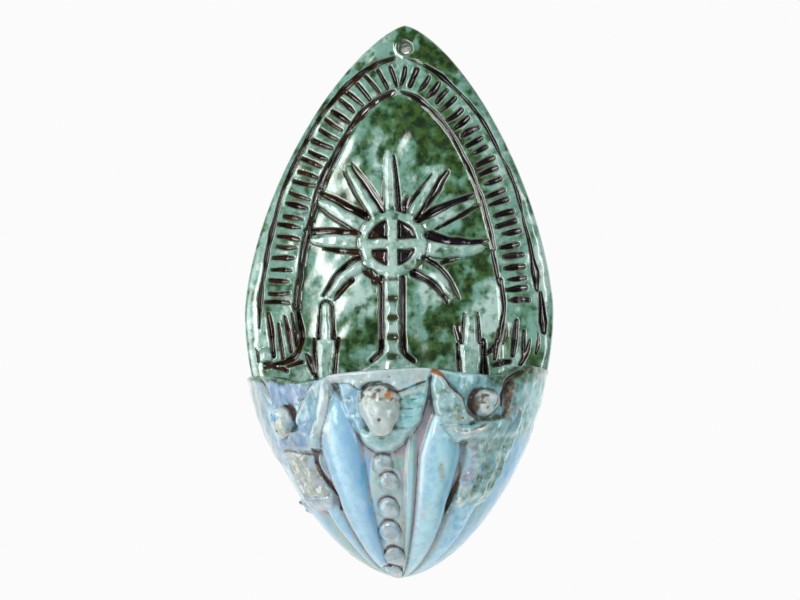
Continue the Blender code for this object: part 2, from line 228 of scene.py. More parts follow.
def grid_faces(rows, columns, ring=False):
    """The quads of a grid of points. With ring, the last column joins the first."""
    index = np.arange(rows * columns).reshape(rows, columns)
    if ring:
        index = np.concatenate([index, index[:, :1]], axis=1)
    corners = (index[:-1, :-1], index[1:, :-1], index[1:, 1:], index[:-1, 1:])
    return np.stack(corners, axis=-1).reshape(-1, 4)


def linked(name, data):
    """A new object in the scene."""
    made = bpy.data.objects.new(name, data)
    bpy.context.scene.collection.objects.link(made)
    return made


def mesh_object(name, points, faces):
    """A new object from points in millimetres and faces."""
    mesh = bpy.data.meshes.new(name)
    mesh.from_pydata((MM * points.reshape(-1, 3)).tolist(), [], [tuple(f) for f in faces])
    mesh.update()
    return linked(name, mesh)


def read_back(piece, name):
    """The piece with its modifiers made into a mesh of its own."""
    graph = bpy.context.evaluated_depsgraph_get()
    mesh = bpy.data.meshes.new_from_object(piece.evaluated_get(graph))
    bpy.data.objects.remove(piece)
    return linked(name, mesh)


def reduced(piece, most):
    """The piece with triangles taken out of its plainest parts, down to some number."""
    piece.data.calc_loop_triangles()
    count = len(piece.data.loop_triangles)
    if count <= most:
        return piece
    thin = piece.modifiers.new("thin", "DECIMATE")
    thin.ratio = most / count
    return read_back(piece, piece.name)


def give_layer(piece, name, values):
    """Keeps one number a vertex for the glaze to read."""
    layer = piece.data.attributes.new(name, "FLOAT", "POINT")
    layer.data.foreach_set("value", np.ascontiguousarray(values, np.float32).ravel())


# ------------------------------------------------------------------ outline


def up_and_down(z):
    """How far z is from the widest place, as shares of the way to the top and to the bottom."""
    up = np.clip((z - WIDEST) / (PLATE_TOP - WIDEST), 0, 1)
    down = np.clip((WIDEST - z) / (WIDEST - PLATE_BOTTOM), 0, 1)
    return up, down


def half_width(z):
    """Half of the almond's width: (1 - up^1.6)^0.7 above its widest place, (1 - down^1.8)^0.6 below."""
    up, down = up_and_down(z)
    return HALF_WIDTH * (1 - up**1.6) ** 0.7 * (1 - down**1.8) ** 0.6


def lean(z):
    """Where the middle of the almond is at height z."""
    up, down = up_and_down(z)
    return MIDDLE_LEAN * (1 - down**2) + TOP_LEAN * up**2


def front_depth(z):
    """How far the bowl's front stands from the wall at height z."""
    share = np.clip((z - PLATE_BOTTOM) / (RIM_Z - PLATE_BOTTOM), 0, 1)
    return TIP_DEPTH + (RIM_DEPTH - TIP_DEPTH) * (1 - (1 - share) ** 1.6) ** 0.75


# ------------------------------------------------------------------ carving


def arch_distance(x, z, arch):
    """Distance from a stole arch, outside positive: |x| = half (1 - s^2)^0.6 above its widest place and
    straight down below it."""
    half, apex, widest = arch
    height = apex - widest
    s = np.clip((z - widest) / height, 0, None)
    across = np.abs(x - ARCH_X) / half
    level = across ** (5 / 3) + s**2 - 1
    slope = np.hypot(5 / 3 * across ** (2 / 3) / half, 2 * s / height)
    return level / np.maximum(slope, 1e-6)


def middle_arch(count, lowest):
    """Points spaced evenly along the middle of the stole, and the direction across it at each."""
    half, apex, widest = (0.5 * (a + b) for a, b in zip(OUTER_ARCH, INNER_ARCH))
    start = np.arcsin((lowest - widest) / (apex - widest))
    turn = np.linspace(start, np.pi - start, 2001)
    x = ARCH_X + half * np.sign(np.cos(turn)) * np.abs(np.cos(turn)) ** 1.2
    z = widest + (apex - widest) * np.sin(turn)
    length = np.concatenate([[0], np.cumsum(np.hypot(np.diff(x), np.diff(z)))])
    even = np.linspace(0, length[-1], count)
    dx, dz = (np.interp(even, length, np.gradient(c)) for c in (x, z))
    size = np.hypot(dx, dz)
    return np.interp(even, length, x), np.interp(even, length, z), dz / size, -dx / size


class Clay:
    """The front of the plate while it is cut: the depth of the tool cuts, and the burr they throw up."""

    def __init__(self, x, z):
        self.x, self.z = x, z
        self.depth = np.zeros_like(x)
        self.burr = np.zeros_like(x)
        self.uneven = wander(x, z, 14, 41)

    def cut(self, path, widths, depths, steep=0.0, flat=1.7):
        """Draws a tool along a path of points. Width and depth run from the first to the last value.
        The section is a rounded V, or a flatter U, whose deepest line is moved to one side by steep, and
        it leaves a low soft lip on both sides."""
        path = np.array(path, float)
        lengths = np.hypot(*(path[1:] - path[:-1]).T)
        marks = np.concatenate([[0], np.cumsum(lengths)]) / lengths.sum()
        reach = max(widths) * 1.2
        near = (self.x > path[:, 0].min() - reach) & (self.x < path[:, 0].max() + reach)
        near &= (self.z > path[:, 1].min() - reach) & (self.z < path[:, 1].max() + reach)
        away, place, side = nearest(path, self.x[near], self.z[near])
        share = np.interp(place, np.arange(len(path)), marks)
        uneven = self.uneven[near]
        half = 0.5 * np.interp(share, np.linspace(0, 1, len(widths)), widths) * (1 + 0.16 * uneven)
        depth = np.interp(share, np.linspace(0, 1, len(depths)), depths) * (1 + 0.1 * uneven)
        across = side * away / half
        bent = np.where(across > steep, (across - steep) / (1 - steep), (across - steep) / (1 + steep))
        section = np.clip(1 - np.abs(bent) ** flat, 0, 1)
        lip = np.exp(-(((np.abs(across) - 1.16) / 0.2) ** 2))
        self.depth[near] = np.maximum(self.depth[near], depth * section)
        self.burr[near] = np.maximum(self.burr[near], 0.04 * depth * lip)


def curved(start, end, bend, count=9):
    """Points on a shallow bow between two points, bent to its left by a positive bend."""
    t = np.linspace(0, 1, count)[:, None]
    start, end = np.array(start, float), np.array(end, float)
    along = end - start
    left = np.array([-along[1], along[0]]) / np.hypot(*along)
    return start + along * t + left * bend * np.sin(np.pi * t)


# Rays of the monstrance, clockwise: turn from upright, length, half-width at the ring and at the tip and
# bow, then the wedge cuts on the anticlockwise and the clockwise side. A cut has where along the ray it
# starts and ends, its width at both ends and its depth.
RAYS = (
    (-2.7, 58.6, 3.6, 2.5, 0.0, (0.14, 0.60, 2.4, 1.4, 0.9), (0.12, 0.92, 2.6, 1.8, 2.8)),
    (32.6, 53.0, 3.1, 2.0, 0.0, (0.14, 0.92, 3.0, 1.5, 2.0), (0.16, 1.05, 3.0, 5.4, 2.6)),
    (62.6, 57.4, 3.7, 2.7, 0.0, (0.13, 1.02, 6.0, 2.6, 3.6), (0.30, 1.02, 1.4, 2.8, 2.2)),
    (92.6, 57.6, 4.8, 3.0, -3.2, (0.13, 1.04, 5.6, 2.2, 3.6), (0.20, 0.50, 1.2, 1.6, 0.7)),
    (133.0, 51.0, 3.6, 2.6, 4.2, (0.16, 1.02, 2.4, 2.4, 2.6), (0.12, 1.00, 4.8, 2.6, 3.4)),
    (-129.0, 51.5, 3.4, 2.4, -3.4, (0.50, 0.98, 3.0, 3.2, 2.4), (0.14, 1.02, 3.4, 2.6, 3.0)),
    (-86.0, 52.0, 4.4, 3.8, 0.0, (0.14, 0.76, 3.8, 2.0, 2.6), (0.16, 1.06, 3.6, 4.0, 3.6)),
    (-59.0, 54.0, 3.9, 3.2, 0.0, (0.13, 1.00, 3.4, 1.4, 2.0), (0.24, 1.04, 4.4, 4.0, 3.6)),
    (-30.6, 56.4, 3.3, 2.2, 0.0, (0.16, 0.96, 2.0, 1.5, 1.4), (0.16, 1.00, 5.0, 3.0, 1.9)),
)


def ray_shape(ray):
    """The middle line of a ray, as points from inside the ring to its tip."""
    turn, length, bow = ray[0], ray[1], ray[4]
    way = np.array([np.sin(math.radians(turn)), np.cos(math.radians(turn))])
    centre = np.array([SUN_X, SUN_Z])
    return curved(centre + way * RING_INNER, centre + way * length, bow)


def ray_half(share, ray):
    """Half of a ray's width along it: a finger, a little wider where it leaves the ring."""
    base, tip = ray[2], ray[3]
    return (base + 0.4 + (tip - base) * share) * np.sqrt(np.clip(1.02 - share**7, 0, 1))


def ray_distance(x, z, ray):
    """Distance from a ray's outline, inside negative."""
    line = ray_shape(ray)
    away, place, _ = nearest(line, x, z)
    return away - ray_half(place / (len(line) - 1), ray)


def stem_half(z):
    """Half-width of the monstrance's stem, which spreads into its foot."""
    return STEM_HALF + 14.5 * between(-z, 171, 188) ** 1.5


def sun_distance(x, z):
    """Distance from the monstrance's outline: ring, rays, stem and foot."""
    distance = np.hypot(x - SUN_X, z - SUN_Z) - RING_OUTER
    for ray in RAYS:
        other = ray_distance(x, z, ray)
        web = np.clip(1.2 - np.abs(distance - other), 0, None)
        distance = np.minimum(distance, other) - web**2 / 4.8
    stem = np.maximum(np.abs(x - STEM_X) - stem_half(z), z - SUN_Z)
    return np.minimum(distance, stem)


# Candles: middle, top of the shaft, top of the socket, half-widths of the shaft at top and bottom and of
# the socket at top and bottom.
CANDLES = (
    (-46.2, -143.5, -166.5, 2.6, 3.7, 6.4, 4.2),
    (43.6, -150.0, -170.0, 3.0, 4.6, 7.0, 5.4),
)


def candle_halves(z, candle):
    """Half-width of a candle at each height: a tapering shaft over a wider tapering socket."""
    _, top, step, tip, foot, wide, narrow = candle
    shaft = tip + (foot - tip) * np.clip((top - z) / (top - step), 0, 1)
    socket = wide + (narrow - wide) * np.clip((step - z) / SOCKET_HEIGHT, 0, 1)
    return np.where(z > step, shaft, socket)


def candle_distance(x, z, candle):
    """Distance from a candle's outline, with a round top."""
    middle, top, _, tip = candle[:4]
    away = np.abs(x - middle)
    straight = away - candle_halves(z, candle)
    dome = np.hypot(away, z - (top - tip)) - tip
    return np.where(z > top - tip, dome, straight)


def arch_x(arch, z, side):
    """Where a stole arch stands at height z."""
    half, apex, widest = arch
    s = np.clip((z - widest) / (apex - widest), 0, 1)
    return ARCH_X + side * half * (1 - s**2) ** 0.6


# Strokes of the long grooves: arch, side, from and to height, how far outside the arch at both ends, width
# at the start, middle and end, depth. They overlap a little, as a hand lays them.
STROKES = (
    (OUTER_ARCH, -1, 8.8, -30, 0.0, 0.3, 3.4, 4.4, 3.6, 2.6),
    (OUTER_ARCH, -1, -27, -72, -0.2, 0.2, 2.8, 3.8, 3.2, 2.4),
    (OUTER_ARCH, -1, -68, -128, 0.5, -0.2, 2.8, 3.4, 3.2, 2.3),
    (OUTER_ARCH, -1, -122, -159, 0.2, 1.2, 2.2, 3.6, 2.4, 2.4),
    (OUTER_ARCH, 1, 8.5, 4, 0.0, 0.0, 1.2, 1.4, 1.2, 0.8),
    (OUTER_ARCH, 1, 3.5, -15, 0.4, 0.4, 3.0, 4.0, 2.4, 2.6),
    (OUTER_ARCH, 1, -14, -60, 0.8, 0.2, 2.6, 2.8, 2.2, 2.0),
    (OUTER_ARCH, 1, -56, -97, 0.6, 0.2, 2.2, 2.4, 2.2, 1.8),
    (OUTER_ARCH, 1, -93, -137, -0.2, 0.6, 2.4, 3.0, 5.2, 2.6),
    (OUTER_ARCH, 1, -139, -163, 2.6, 4.2, 3.6, 4.4, 6.0, 3.2),
    (INNER_ARCH, -1, -12.8, -40, 0.4, 0.0, 3.6, 4.6, 4.0, 2.6),
    (INNER_ARCH, -1, -36, -90, -0.2, 0.3, 4.0, 4.6, 4.0, 2.6),
    (INNER_ARCH, -1, -85, -130, 0.0, -0.4, 4.0, 4.6, 3.8, 2.6),
    (INNER_ARCH, -1, -126, -147, -0.2, 0.0, 3.6, 4.0, 3.6, 2.4),
    (INNER_ARCH, 1, -12.8, -36, 0.4, 0.2, 3.6, 3.4, 2.8, 2.4),
    (INNER_ARCH, 1, -32, -80, 0.2, -0.2, 2.8, 3.0, 2.8, 2.0),
    (INNER_ARCH, 1, -76, -112, 0.3, 0.0, 2.8, 3.2, 3.4, 2.2),
    (INNER_ARCH, 1, -113, -134, -1.4, -0.6, 3.4, 2.8, 2.6, 2.2),
)

# The hems of the stole's two ends, from inside the arch round the bottom, and their fringe: each cut's
# upper and lower end and its width.
HEMS = (
    ((-65.4, -145), (-62.0, -158), (-61.6, -168), (-64.6, -176.5), (-71.5, -180.5), (-84.0, -184.0)),
    ((62.2, -131), (64.0, -146), (63.6, -153), (61.0, -166), (57.0, -173), (50.5, -177.5)),
)
FRINGE = (
    (-81.8, -150.5, -78.6, -176.5, 4.0),
    (-75.6, -156.5, -72.6, -178.0, 3.0),
    (-71.8, -152.5, -67.9, -173.5, 3.6),
    (-67.2, -150.5, -64.4, -170.5, 2.4),
    (60.6, -161.5, 58.2, -179.0, 3.4),
    (71.6, -156.0, 69.2, -177.0, 4.2),
    (76.4, -162.5, 76.0, -177.5, 3.2),
)


def cut_stole(clay, rng):
    """The stole: an outer and an inner groove drawn by hand in overlapping strokes, some fifty wedge
    cuts across the band, hems round its two ends, a fringe of longer cuts above them, and a knob that
    covers the cuts at its left end."""
    for arch, side, high, low, out_high, out_low, *width, deep in STROKES:
        z = np.linspace(high, low, 12)
        shift = np.linspace(out_high, out_low, 12) + 0.35 * wander(z, 0 * z, 26, 3)
        path = np.stack([arch_x(arch, z, side) + side * shift, z], axis=1)
        steep = side * (-0.35 if arch is INNER_ARCH else 0.2)
        widths = (0.8 * width[0], *width, 0.6 * width[-1])
        clay.cut(path, widths, (0.6 * deep, deep, deep, 0.7 * deep), steep, 2.0)
    for cx, cz, nx, nz in zip(*middle_arch(CROSS_CUTS, CROSS_CUT_LOWEST)):
        left = cx < ARCH_X
        reach = rng.uniform(5.8, 7.0) if left else rng.uniform(4.9, 5.9)
        tilt = rng.normal(0.06 if left else 0.0, 0.05)
        nx, nz = nx - tilt * nz, nz + tilt * nx
        slide = rng.normal(0, 0.7)
        cx, cz = cx + nx * slide + rng.normal(0, 0.35), cz + nz * slide + rng.normal(0, 0.5)
        wide = rng.uniform(2.7, 3.4) if left else rng.uniform(3.3, 4.3)
        deep = rng.uniform(1.9, 2.6)
        outer, inner = (cx + nx * reach, cz + nz * reach), (cx - nx * reach, cz - nz * reach)
        path = curved(outer, inner, rng.normal(0, 0.3), 4)
        tail = rng.uniform(0.5, 0.95)
        widths, depths = (0.9 * wide, wide, wide, tail * wide), (0.8 * deep, deep, deep, tail * deep)
        clay.cut(path, widths, depths, 0.3, 2.4)
    for hem in HEMS:
        clay.cut(spline(hem, 24), (3.4, 3.0, 4.0, 2.4), (2.4, 2.6, 2.8, 1.6), flat=2.0)
    for top_x, top_z, foot_x, foot_z, wide in FRINGE:
        path = curved((top_x, top_z), (foot_x, foot_z), rng.normal(0, 0.4), 6)
        clay.cut(path, (0.7 * wide, wide, 0.8 * wide), (1.6, 3.0, 2.2), rng.uniform(-0.4, 0.4), 1.6)
    away = np.hypot(clay.x - KNOB_X, clay.z - KNOB_Z)
    clay.depth *= between(away, KNOB_RADIUS - 1.2, KNOB_RADIUS + 0.2)
    clay.burr += KNOB_RISE * np.sqrt(np.clip(1 - (away / KNOB_RADIUS) ** 2, 0, 1))


# Ragged cuts in the two lower corners: start, end, width, depth.
CORNER_CUTS = (
    ((-84.0, -181.5), (-70.0, -186.0), 4.6, 2.8),
    ((-70.0, -183.5), (-60.0, -180.5), 3.4, 2.4),
    ((-58.0, -176.0), (-53.5, -187.0), 5.0, 2.8),
    ((-90.0, -172.0), (-88.0, -180.0), 2.6, 1.6),
    ((57.0, -183.5), (68.0, -181.0), 4.4, 2.8),
    ((80.0, -168.0), (74.0, -183.0), 4.0, 2.6),
    ((85.0, -164.0), (83.5, -176.0), 3.0, 2.0),
    ((66.0, -158.0), (63.5, -170.0), 2.6, 1.8),
)

# Single wedge cuts in the field: start, end, widths, depths.
FIELD_CUTS = (
    ((51.0, -168), (50.5, -188), (3.5, 8.0), (2.6, 3.6)),
    ((-22, -125), (-12.0, -131), (3.0, 4.4), (1.8, 2.8)),
    ((15.5, -119.5), (22, -121), (3.4, 2.4), (2.4, 1.6)),
    ((38.7, -114.2), (26.0, -119.8), (3.4, 5.4, 2.6), (1.4, 2.4)),
    ((5.0, -80.0), (3.4, -84.5), (5.0, 6.4), (1.4, 2.2)),
    ((35.6, -160), (37.4, -167), (6.4, 7.0), (1.2, 1.8)),
    ((-17.6, -124), (-15.4, -130), (5.0, 6.4), (1.2, 2.0)),
)


def cut_beside(clay, middle, half, heights, gap, widths, depths, steep):
    """Wedge cuts down both sides of an upright form, a small gap clear of its edge. Heights are the top,
    the foot and how many points to draw through."""
    z = np.linspace(*heights)
    for side in (-1, 1):
        path = np.stack([middle + side * (half(z) + gap), z], axis=1)
        clay.cut(path, widths, depths, side * steep)


def cut_islands(clay):
    """The wedge cuts that free the rays, the stem, the foot and the candles: deep and steep beside the
    form, sloping up gently to the field, and drawn out to a point."""
    for ray in RAYS:
        line = ray_shape(ray)
        share = np.linspace(0, 1, len(line))
        along = np.gradient(line, axis=0)
        along /= np.hypot(*along.T)[:, None]
        left = np.stack([-along[:, 1], along[:, 0]], axis=1)
        for side, (start, end, first, last, deep) in ((1, ray[5]), (-1, ray[6])):
            shares = start + (end - start) * share
            widths = 1.25 * (first + (last - first) * share)
            past = np.clip(shares - 1, 0, None)[:, None] * along * ray[1]
            middle = np.stack([np.interp(shares, share, line[:, k]) for k in (0, 1)], axis=1) + past
            sides = np.stack([np.interp(shares, share, left[:, k]) for k in (0, 1)], axis=1)
            off = ray_half(np.minimum(shares, 0.86), ray) + 0.40 * widths
            path = middle + side * sides * off[:, None]
            widths = widths * (1 - 0.45 * share**6)
            clay.cut(path, widths, deep * (1 - 0.35 * share), side * 0.45, 2.2)
    cut_beside(clay, STEM_X, stem_half, (SUN_Z - 21, FIELD_BOTTOM, 12), 1.5, (3.6, 3.2, 3.6, 3.4),
        (2.6, 2.6, 3.0), 0.4)
    for candle in CANDLES:
        middle, top, step = candle[:3]
        half = functools.partial(candle_halves, candle=candle)
        cut_beside(clay, middle, half, (top - 1.0, step + 0.5, 7), 1.2, (1.6, 2.6), (1.4, 2.6), 0.3)
        cut_beside(clay, middle, half, (step, step - SOCKET_HEIGHT - 2, 7), 1.3, (2.6, 3.2), (2.4, 2.8),
            0.3)
    middle, top, _, tip = CANDLES[0][:4]
    turn, clear = np.linspace(0, np.pi, 9), tip + 1.1
    dome = np.stack([middle + clear * np.cos(turn), top - tip + clear * np.sin(turn)], axis=1)
    clay.cut(dome, (2.0, 2.0), (1.8, 1.8))
    for start, end, wide, deep in CORNER_CUTS:
        path = curved(start, end, 0.8, 6)
        clay.cut(path, (0.5 * wide, wide, 0.6 * wide), (0.5 * deep, deep), 0.3, 1.6)
    for start, end, widths, depths in FIELD_CUTS:
        clay.cut((start, end), widths, depths)


def carve(x, z):
    """The front's height over its plain face, how dark the glaze pools at each point, from 0 to about 1, and
    where the field and the raised forms are."""
    rng = np.random.default_rng(5)
    clay = Clay(x, z)
    inner = arch_distance(x, z, INNER_ARCH)
    cut_stole(clay, rng)
    cut_islands(clay)
    in_field = between(-inner, -0.3, 2.4) * np.where(x < 0, between(z, -176, -164), 1)
    level = -FIELD_DROP * in_field - FIELD_FALL * in_field * between(-x, 22, 66)
    level = level + 0.45 * wander(x, z, 42, 21) * in_field
    level = level + 0.25 * wander(x, z, 38, 22) * (1 - in_field)
    level = level + 0.12 * wander(x, z, 13, 23)
    ground = level - clay.depth + clay.burr
    form = np.minimum(sun_distance(x, z), np.minimum(*(candle_distance(x, z, c) for c in CANDLES)))
    form = form + 0.30 * wander(x, z, 8, 31)
    raised = -FORM_DROP * (1 - smooth(-form / 2.4)) + 0.14 * wander(x, z, 9, 32)
    raised = raised - FORM_FALL * in_field * between(-x, 26, 66)
    on_stem = between(STEM_HALF - np.abs(x - SUN_X), 0.6, 3.6) * between(-z, 134, 142)
    beads = np.abs(np.cos(np.pi * (z - BEAD_Z) / BEAD_PITCH)) ** 0.7
    raised = raised + BEAD_RISE * (beads - 0.6) * on_stem
    keep = smooth(0.5 - form / 0.9)
    height = ground + (raised - ground) * keep
    from_sun = np.hypot(x - SUN_X, z - SUN_Z)
    off_bars = np.minimum(np.abs(x - SUN_X), np.abs(z - SUN_Z)) - CROSS_HALF
    rim = np.where(z > SUN_Z, RING_INNER + 0.6, RING_INNER - 1.0)
    pit = between(np.minimum(off_bars, rim - from_sun) + 0.3 * wander(x, z, 7, 33), -0.3, 2.2)
    crease = np.exp(-(((from_sun - RING_OUTER - 1.6) / 1.1) ** 2)) * between(-z, 20, 124)
    height = height - PIT_DEPTH * pit - SEAM_DEPTH * crease * keep
    pooled = np.clip(clay.depth * (1 - keep) / 2.2, 0, 1.3) + pit
    pooled = pooled + keep * (0.24 * crease + 0.36 * on_stem * between(-beads, -0.85, -0.3))
    return height, pooled, in_field * (1 - keep), keep


# ------------------------------------------------------------------ the plate


def plate_heights():
    """Heights of the plate's cross-sections: crowded at both tips, fine over the carving, and sparse
    behind the bowl."""
    top = PLATE_TOP - 7 * (1 - np.cos(np.linspace(0.02, 0.5 * np.pi, 18)))
    carved = np.arange(top[-1] - ROW_PITCH, CARVING_BOTTOM, -ROW_PITCH)
    share = 1 - np.sin(np.linspace(0, 0.4999 * np.pi, 26))
    low = PLATE_BOTTOM + (carved[-1] - 1.5 - PLATE_BOTTOM) * share
    return np.concatenate([top, carved, low])


# Pools where the copper ran dark green: middle x and z, half-width, half-height, how strong.
GREEN_POOLS = (
    (4, 24, 8, 6, 1.3),
    (4.5, 21.5, 4.5, 4.0, 2.2),
    (19, 12, 8, 7, 1.1),
    (26, 1, 8, 5, 0.7),
    (-24, 6, 12, 6, 0.8),
    (40, -20, 5, 14, 0.35),
    (8, -28, 20, 14, 0.8),
    (26, -42, 18, 16, 0.75),
    (42, -62, 15, 20, 0.5),
    (48, -92, 14, 16, 0.42),
    (-12, -38, 10, 14, 0.5),
    (-33, -62, 10, 8, 0.4),
    (38, -132, 8, 26, 0.5),
    (52, -120, 8, 14, 0.8),
    (24, -150, 10, 14, 0.6),
    (16, -172, 12, 9, 0.6),
    (-22, -158, 8, 14, 0.4),
    (-30, -176, 10, 8, 0.5),
    (62, -168, 8, 8, 0.5),
    (-89, -146, 4, 8, 0.6),
    (-48, -26, 6, 12, 0.5),
    (-62, -50, 6, 12, 0.4),
    (78, -182, 8, 6, 0.6),
)

# Paler places where the glaze is thick and milky; the first two, down the right and left border, are painted
# highlight streaks.
PALE_POOLS = (
    (89, -112, 6, 40, 0.9),
    (-94, -150, 6, 34, 0.2),
    (-83.5, -176.5, 3.6, 3.6, 1.4),
    (-26, 10, 14, 7, 0.5),
    (-14, -52, 14, 12, 0.4),
    (22, -66, 8, 8, 0.5),
    (58, -58, 6, 16, 0.6),
    (20, -138, 10, 10, 0.8),
    (-22, -142, 10, 14, 0.7),
    (58, -150, 8, 18, 0.8),
    (-34, -136, 12, 12, 0.8),
    (70, -182, 8, 8, 0.6),
)


def pools(table, x, z):
    """Soft uneven patches from a table of places."""
    total = np.zeros_like(x)
    x, z = x + 4 * wander(x, z, 16, 61), z + 4 * wander(x, z, 16, 62)
    for middle_x, middle_z, wide, tall, strong in table:
        away = np.hypot((x - middle_x) / wide, (z - middle_z) / tall)
        total = np.maximum(total, strong * smooth(1.5 - away))
    return total


def build_plate():
    """The almond as a tube of cross-sections, each running over the carved front, round one side, along
    the flat back and round the other side, closed by a fan at both tips and drilled for its nail."""
    z_rows = plate_heights()
    rows = len(z_rows)
    q = np.linspace(-1, 1, FRONT_COLUMNS)
    front_side = 0.66 * q + 0.34 * np.sin(0.5 * np.pi * q)
    back_side = np.linspace(1, -1, BACK_COLUMNS)
    back_side = np.sign(back_side) * np.abs(back_side) ** 0.8
    width = half_width(z_rows)
    slope = np.gradient(width, z_rows)
    z = z_rows[:, None]
    x = lean(z) + width[:, None] * front_side
    from_edge = width[:, None] * (1 - np.abs(front_side)) / np.hypot(1, slope)[:, None]
    roll = np.sqrt(np.clip(1 - np.clip(1 - from_edge / EDGE_WIDE, 0, 1) ** 2.3, 0, 1))
    height, pooled, field, forms = carve(x, z + 0 * x)
    shown = between(z, CARVING_BOTTOM - 4, CARVING_BOTTOM) * between(from_edge, 0, 4)
    hole = np.hypot(x - HOLE_X, z - HOLE_Z) + 0.5 * wander(x, z, 8, 44)
    height = height + HOLE_RIM * np.exp(-(((hole - HOLE_RADIUS - 2) / 1.6) ** 2))
    height = height - HOLE_SINK * between(-hole, -HOLE_RADIUS - 1.6, -HOLE_RADIUS)
    front_y = -(THICKNESS - EDGE_ROUND) - EDGE_ROUND * roll - height * shown
    sections = [np.stack([x, front_y, z + 0 * x], axis=-1)]
    for side in (1, -1):
        for share in (0.66, 0.33)[::side]:
            y = np.full(rows, -(THICKNESS - EDGE_ROUND) * share)
            wall = np.stack([lean(z_rows) + side * width, y, z_rows], axis=-1)
            sections.append(wall[:, None])
        if side > 0:
            inset = np.where(np.abs(back_side) > 0.999, BACK_INSET, 0)
            back_x = np.sign(back_side) * np.maximum(np.abs(back_side) * width[:, None] - inset, 0)
            sections.append(np.stack([lean(z) + back_x, 0 * back_x, z + 0 * back_x], axis=-1))
    points = np.concatenate(sections, axis=1)
    loop = points.shape[1]
    ends = np.stack([points[0].mean(axis=0), points[-1].mean(axis=0)])
    flat = np.concatenate([points.reshape(-1, 3), ends])
    first, last = np.arange(loop), (rows - 1) * loop + np.arange(loop)
    top_fan = np.stack([first, np.roll(first, -1), np.full(loop, rows * loop)], axis=1)
    low_fan = np.stack([np.roll(last, -1), last, np.full(loop, rows * loop + 1)], axis=1)
    faces = grid_faces(rows, loop, ring=True).tolist() + top_fan.tolist() + low_fan.tolist()
    plate = mesh_object("plate", flat, faces)
    spare = loop - FRONT_COLUMNS

    def give(name, layer, rest=0.0):
        """A layer known on the front, carried on over the sides and back with one value."""
        full = np.concatenate([layer, np.full((rows, spare), rest)], axis=1).ravel()
        give_layer(plate, name, np.concatenate([full, [rest, rest]]))

    give("pooled", pooled * shown)
    give("field", field * shown)
    give("form", forms * shown)
    give("green", pools(GREEN_POOLS, x, z + 0 * x))
    give("pale", pools(PALE_POOLS, x, z + 0 * x))
    relief = height * shown
    give("ridge", np.clip((relief - blurred(relief, 3)) / 0.15, -3, 3))
    give("hollow", np.clip((blurred(relief, 9) - relief) / 0.8, -3, 3))
    # How near each point is to a cut, for the painted shade round the cuts.
    give("near", blurred(blurred(np.clip(1.8 * pooled * shown, 0, 1), 1), 3))
    give("bored", between(-hole, -HOLE_RADIUS - 1.2, -HOLE_RADIUS - 0.2))
    return reduced(drilled(plate), MOST_TRIANGLES)


def drilled(plate):
    """The plate with its nail hole bored through, falling towards the wall."""
    turn = np.linspace(0, 2 * np.pi, DRILL_SIDES, endpoint=False)
    x, z = HOLE_X + HOLE_RADIUS * np.cos(turn), HOLE_Z + HOLE_RADIUS * np.sin(turn)
    ring = np.stack([x, 0 * turn, z], axis=1)
    front = ring + (0, -2 * THICKNESS, HOLE_FALL)
    points = np.concatenate([front, ring + (0, THICKNESS, -2 * HOLE_FALL)])
    near, after = np.arange(DRILL_SIDES), np.roll(np.arange(DRILL_SIDES), -1)
    far = near + DRILL_SIDES
    sides = np.stack([after, near, far, after + DRILL_SIDES], axis=1).tolist()
    rod = mesh_object("rod", points, sides + [near.tolist(), far[::-1].tolist()])
    cut = plate.modifiers.new("drill", "BOOLEAN")
    cut.object = rod
    cut.operation = "DIFFERENCE"
    cut.solver = "MANIFOLD"
    made = read_back(plate, "plate")
    bpy.data.objects.remove(rod)
    return made


# ------------------------------------------------------------------ modelling on the bowl


def on_bowl(turn, z, lift):
    """The point that stands this far clear of the bowl's unfluted face, at a turn from the front."""
    angle = np.radians(turn)
    x = lean(z) + (half_width(z) + lift) * np.sin(angle)
    y = -(front_depth(z) + lift) * np.cos(angle)
    return np.stack(np.broadcast_arrays(x, y, z), axis=-1)


def along_bowl(turn, z):
    """How far along the bowl a turn is from its middle, by Simpson's rule over the arc."""
    total = np.zeros(np.broadcast(turn, z).shape)
    for share, weight in zip(np.linspace(0, 1, 9), (1, 4, 2, 4, 2, 4, 2, 4, 1)):
        angle = np.radians(turn * share)
        total += weight / 24 * np.hypot(half_width(z) * np.cos(angle), front_depth(z) * np.sin(angle))
    return np.radians(turn) * total


def lobe_rise(turn, z):
    """How far the gadroons stand out, and where across its gadroon each point is, from -1 to 1. They are
    soft half-rounds whose tops grow out of the plain face like leaf tips."""
    rise, across = np.zeros((2, *np.broadcast(turn, z).shape))
    width = np.clip(half_width(z) / 48, 0, 1) ** 0.8
    for low, high, top, height in LOBES:
        opened = np.sqrt(np.clip((top - z) / 34, 0, 1))
        share = (turn - 0.5 * (low + high)) / (0.5 * (high - low) * np.maximum(opened, 1e-3))
        round_top = np.clip(1 - share**2, 0, 1) ** 0.62
        this = height * round_top * width * np.clip(opened * 1.2, 0, 1)
        across = np.where(this > rise, share, across)
        rise = np.maximum(rise, this)
    return rise, across


TINTS = ("figure", "pale", "cream", "teal", "azure", "lilac", "green", "brown", "rust", "sky")
BARE_CLAY = {"figure": 1.0, **dict.fromkeys(("pale", "cream", "teal", "azure", "lilac", "brown"), 0)}


